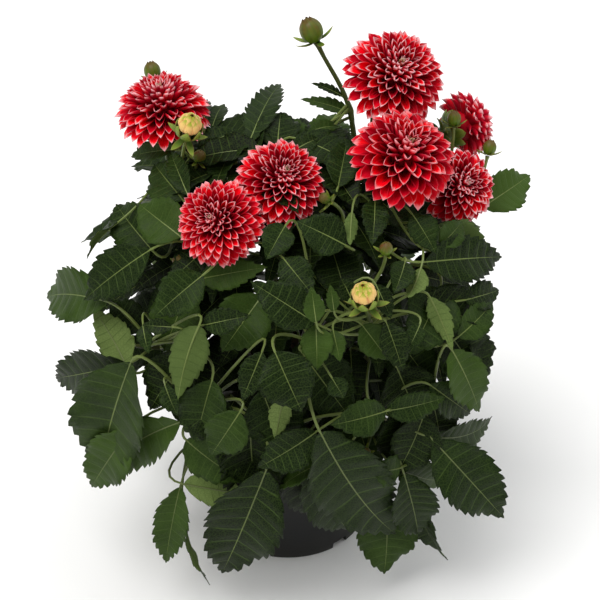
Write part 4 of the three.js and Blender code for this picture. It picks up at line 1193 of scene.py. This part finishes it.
def nearestShare(stem, base):  # where a stem passes a leaf's base, starting below it rather than above
    best = (math.inf, 0)
    for u in np.arange(0.12, 0.97, 0.04):
        place = stem["curve"].at(u)
        cost = np.linalg.norm(place - base) + 1.5 * max(0, place[2] - base[2] - 4 * mm)
        best = min(best, (cost, u))
    return best


tipPlaces = KDTree(sum(len(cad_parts[stem["node"]].data.vertices) for stem in stems.values()))
tipOwners = []
for key, stem in stems.items():
    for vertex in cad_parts[stem["node"]].data.vertices:
        tipPlaces.insert(vertex.co, len(tipOwners))
        tipOwners.append(key)
tipPlaces.balance()


def settleLeaf(ends):  # the stem that carries a leaf in the frame, and the two ends there
    for shift in depthShifts:
        base, tip = ends(shift)
        _, index, gap = tipPlaces.find(Vector(tip))
        if gap < leafShape["matchGap"]:
            return tipOwners[index], base, tip
    base, tip = ends(0)
    key = min(stems, key=lambda k: nearestShare(stems[k], base)[0])
    return key, base, tip


def facingOf(base, tip, extra):
    chord = tip - base
    out = unit(((base + tip) / 2 - canopyMiddle) / canopySize)
    facing = toViewer * 0.6 + out * 0.4
    if extra.get("back"):
        facing = -facing
    turn = Matrix.Rotation(extra.get("roll", 0) * degree, 3, Vector(chord).normalized())
    return np.array(turn) @ facing


def stalkLine(across, curve, stalk, thick):  # the leaf's stalk, then the rib under its blade
    steps = np.linspace(0, 1, 10)[:-1]
    line = [(place, thick * (1.25 - 0.3 * t)) for t, place in zip(steps, bezier(stalk, steps))]
    below = np.cross(unit(across), bezierAlong(curve, np.array([0.5]))[0])
    steps = np.linspace(0, 0.97, 12)
    for t, place in zip(steps, bezier(curve, steps)):
        radius = thick * (0.75 * (1 - t) ** 0.8 + 0.12)
        line.append((place - below * radius * 0.35, radius))
    return line


def growLeaf(width, ends, extra, facing=None, place=None):
    key, base, tip = place or settleLeaf(ends)
    stem = stems[key]
    facing = facingOf(base, tip, extra) if facing is None else facing
    arch, bend = extra.get("arch", leafShape["arch"]), extra.get("bend", 0)
    share = nearestShare(stem, base)[1]
    frames = []
    for shift in rootShifts:
        root = stem["curve"].at(min(max(share + shift, 0.1), 0.96))
        frames.append(leafFrame(root, base, tip, facing, arch, bend))
    steps = np.linspace(0.3, 0.95, 6)
    across, curve, stalk = min(frames, key=lambda f: offSurface(stem, bezier(f[2], steps)))
    length = np.linalg.norm(tip - base)
    teeth = int(np.clip(round(2.6 + length / leafShape["toothSpacing"]), 4, 10))
    places = bladePlaces(across, curve, width, teeth, leafDraw.uniform(*leafShape["fold"]))
    tone = extra.get("tone", 0.15 + 0.7 * leafDraw.random())
    stem["blades"].append(shapedCopy(leafBlank(teeth), places, tone=tone))
    thick = stemShape["stalk"] * (0.7 + 0.3 * min(1, width / (60 * mm)))
    stem["stalks"].append(stalkLine(across, curve, stalk, thick))


for start, end, wide, depths, extra in tallLeafRows:
    growLeaf(wide * leafShape["scale"] * mm, lambda shift: (
        atDepth(start, depths[0] + shift), atDepth(end, depths[1] + shift)), extra)
for start, end, wide, sinks, extra in leafRows + innerLeafRows + smallLeafRows:
    growLeaf(wide * leafShape["scale"] * mm, lambda shift: (
        onCanopy(start, sinks[0] + shift), onCanopy(end, sinks[1] + shift)), extra)


def seededDraw(state):  # the plain congruential draw that the leaves round the back follow
    while True:
        state = (state * 1664525 + 1013904223) % 4294967296
        yield state / 4294967296


def growBackLeaves():
    draws = seededDraw(29)
    half = 80 * degree
    for height, count, length, width in backRows:
        for k in range(count):
            turn = math.pi / 2 - half + 2 * half * (k + 0.25 + 0.5 * next(draws)) / count
            rise = (height * mm - canopyMiddle[2]) / canopySize[2]
            ring = math.sqrt(1 - rise * rise)
            out = np.array((math.cos(turn), math.sin(turn), 0))
            tip = np.array((out[0] * canopySize[0] * ring, out[1] * canopySize[1] * ring, (height - 20) * mm))
            droop = 0.5 - 0.9 * rise + 0.3 * next(draws)
            inward = unit(-out + np.array((0.5 * (next(draws) - 0.5), 0, droop)))
            long = length * (0.85 + 0.3 * next(draws)) * mm

            def ends(shift):
                end = tip - out * 0.8 * shift * mm
                return end + inward * long, end

            growLeaf(width * mm, ends, {}, unit(out * 0.5 + upward * 0.8))


growBackLeaves()

fillShape = {
    "count": 150, "low": 160, "high": 425, "reach": (0.55, 0.84), "length": (56, 84), "width": (34, 50),
}


def growFillLeaves():  # shaded leaves inside the canopy
    draw = random.Random(8)
    for i in range(fillShape["count"]):
        height = fillShape["low"] + (fillShape["high"] - fillShape["low"]) * (i + 0.5) / fillShape["count"]
        turn = i * goldenTurn
        rise = (height * mm - canopyMiddle[2]) / canopySize[2]
        ring = math.sqrt(1 - rise * rise) * draw.uniform(*fillShape["reach"])
        out = np.array((math.cos(turn), math.sin(turn), 0))
        tip = np.array((out[0] * canopySize[0] * ring, out[1] * canopySize[1] * ring, height * mm))
        inward = unit(-out + np.array((draw.uniform(-0.5, 0.5), draw.uniform(-0.3, 0.3), 0.6 - 0.5 * rise)))
        base = tip + inward * draw.uniform(*fillShape["length"]) * mm
        key = min(stems, key=lambda k: nearestShare(stems[k], base)[0])
        facing = unit(out * 0.5 + upward * 0.8 + viewRight * draw.uniform(-0.3, 0.3))
        width = draw.uniform(*fillShape["width"]) * mm
        # The tone is drawn low, so these inner leaves are darker: painted shade
        growLeaf(width, None, {"tone": draw.uniform(-0.1, 0.5)}, facing, (key, base, tip))


growFillLeaves()
print("leaves made")


def makeStemPiece(key, stem):
    parts = []
    if stem["blades"]:
        blades = joinPieces(f"blades_{key}", stem["blades"])
        mergeDoubles(blades)
        giveFinish(blades, leafTop, leafUnder)
        applyModifier(blades, "SOLIDIFY", thickness=leafShape["thickness"], offset=0, material_offset=1)
        parts.append(blades)
    trunk = tubesFrom(f"trunk_{key}", [stem["stem"]], 4)
    giveFinish(trunk, stemSkin)
    parts.append(trunk)
    if stem["stalks"]:
        stalks = tubesFrom(f"stalks_{key}", stem["stalks"], 1)
        giveFinish(stalks, stalkSkin)
        parts.append(stalks)
    for skin in (bractSkin, budSkin):
        scales = [piece for piece, its in stem["scales"] if its is skin]
        if scales:
            group = joinPieces(f"scales_{key}_{skin.name}", scales)
            mergeDoubles(group)
            applyModifier(group, "SOLIDIFY", thickness=0.4 * mm, offset=0)
            giveFinish(group, skin)
            parts.append(group)
    for part in parts:
        if "tone" not in part.data.attributes:
            giveTraits(part.data, tone=0.5)
    whole = joinPieces(f"growth_{key}", parts)
    finishPiece(whole, stem["node"])


for key, stem in stems.items():
    makeStemPiece(key, stem)
for blank in (petalBlank, scaleBlank, *leafBlanks.values()):
    bpy.data.objects.remove(blank)
print("stems and leaves made")

# Floor, light and camera

stage = {
    "floorSize": 12, "floorShade": (0.94, 0.94, 0.935), "cloudShade": (0.9, 0.9, 0.895),
    "worldShade": (1, 1, 1), "worldLight": 0.45,
}


def makeStage():
    deselectAll()
    bpy.ops.mesh.primitive_plane_add(size=stage["floorSize"], location=(0, 0, 0))
    floor = newest()
    floor.name = "floor"
    paint = Paint("paleFloor", Roughness=0.9, Specular_IOR_Level=0.1)
    cloud = paint.noise(3, 2)
    tint = paint.mix(cloud, stage["floorShade"], stage["cloudShade"])
    floor.data.materials.append(paint.finish(Base_Color=tint))
    world = bpy.data.worlds.new("studio")
    bpy.context.scene.world = world
    world.use_nodes = True
    backdrop = world.node_tree.nodes["Background"]
    backdrop.inputs["Color"].default_value = (*stage["worldShade"], 1)
    backdrop.inputs["Strength"].default_value = stage["worldLight"]


lampRows = [  # wide soft suns: where each comes from, its power and how wide it is
    {"name": "keyLamp", "from": (-0.6, -0.45, 1.7), "power": 2.3, "spread": 42 * degree,
     "shade": (1, 0.99, 0.97)},
    {"name": "backLamp", "from": (1.0, 0.8, 1.5), "power": 1.0, "spread": 80 * degree,
     "shade": (0.97, 0.985, 1)},
]


def makeLamp(row):
    light = bpy.data.lights.new(row["name"], "SUN")
    light.angle = row["spread"]
    light.energy = row["power"]
    light.color = row["shade"]
    lamp = bpy.data.objects.new(row["name"], light)
    bpy.context.collection.objects.link(lamp)
    lamp.location = row["from"]
    lamp.rotation_euler = (-Vector(row["from"])).to_track_quat("-Z", "Y").to_euler()


def makeCamera():
    lens = bpy.data.cameras.new("camera")
    lens.sensor_width = 36
    lens.lens = lens.sensor_width * view["focal"] / view["side"]
    lens.clip_end = 50
    camera = bpy.data.objects.new("camera", lens)
    bpy.context.collection.objects.link(camera)
    camera.location = Vector(eye)
    camera.rotation_euler = Vector(-toViewer).to_track_quat("-Z", "Y").to_euler()
    bpy.context.scene.camera = camera


makeStage()
for row in lampRows:
    makeLamp(row)
makeCamera()
bpy.context.scene.view_settings.view_transform = "Standard"
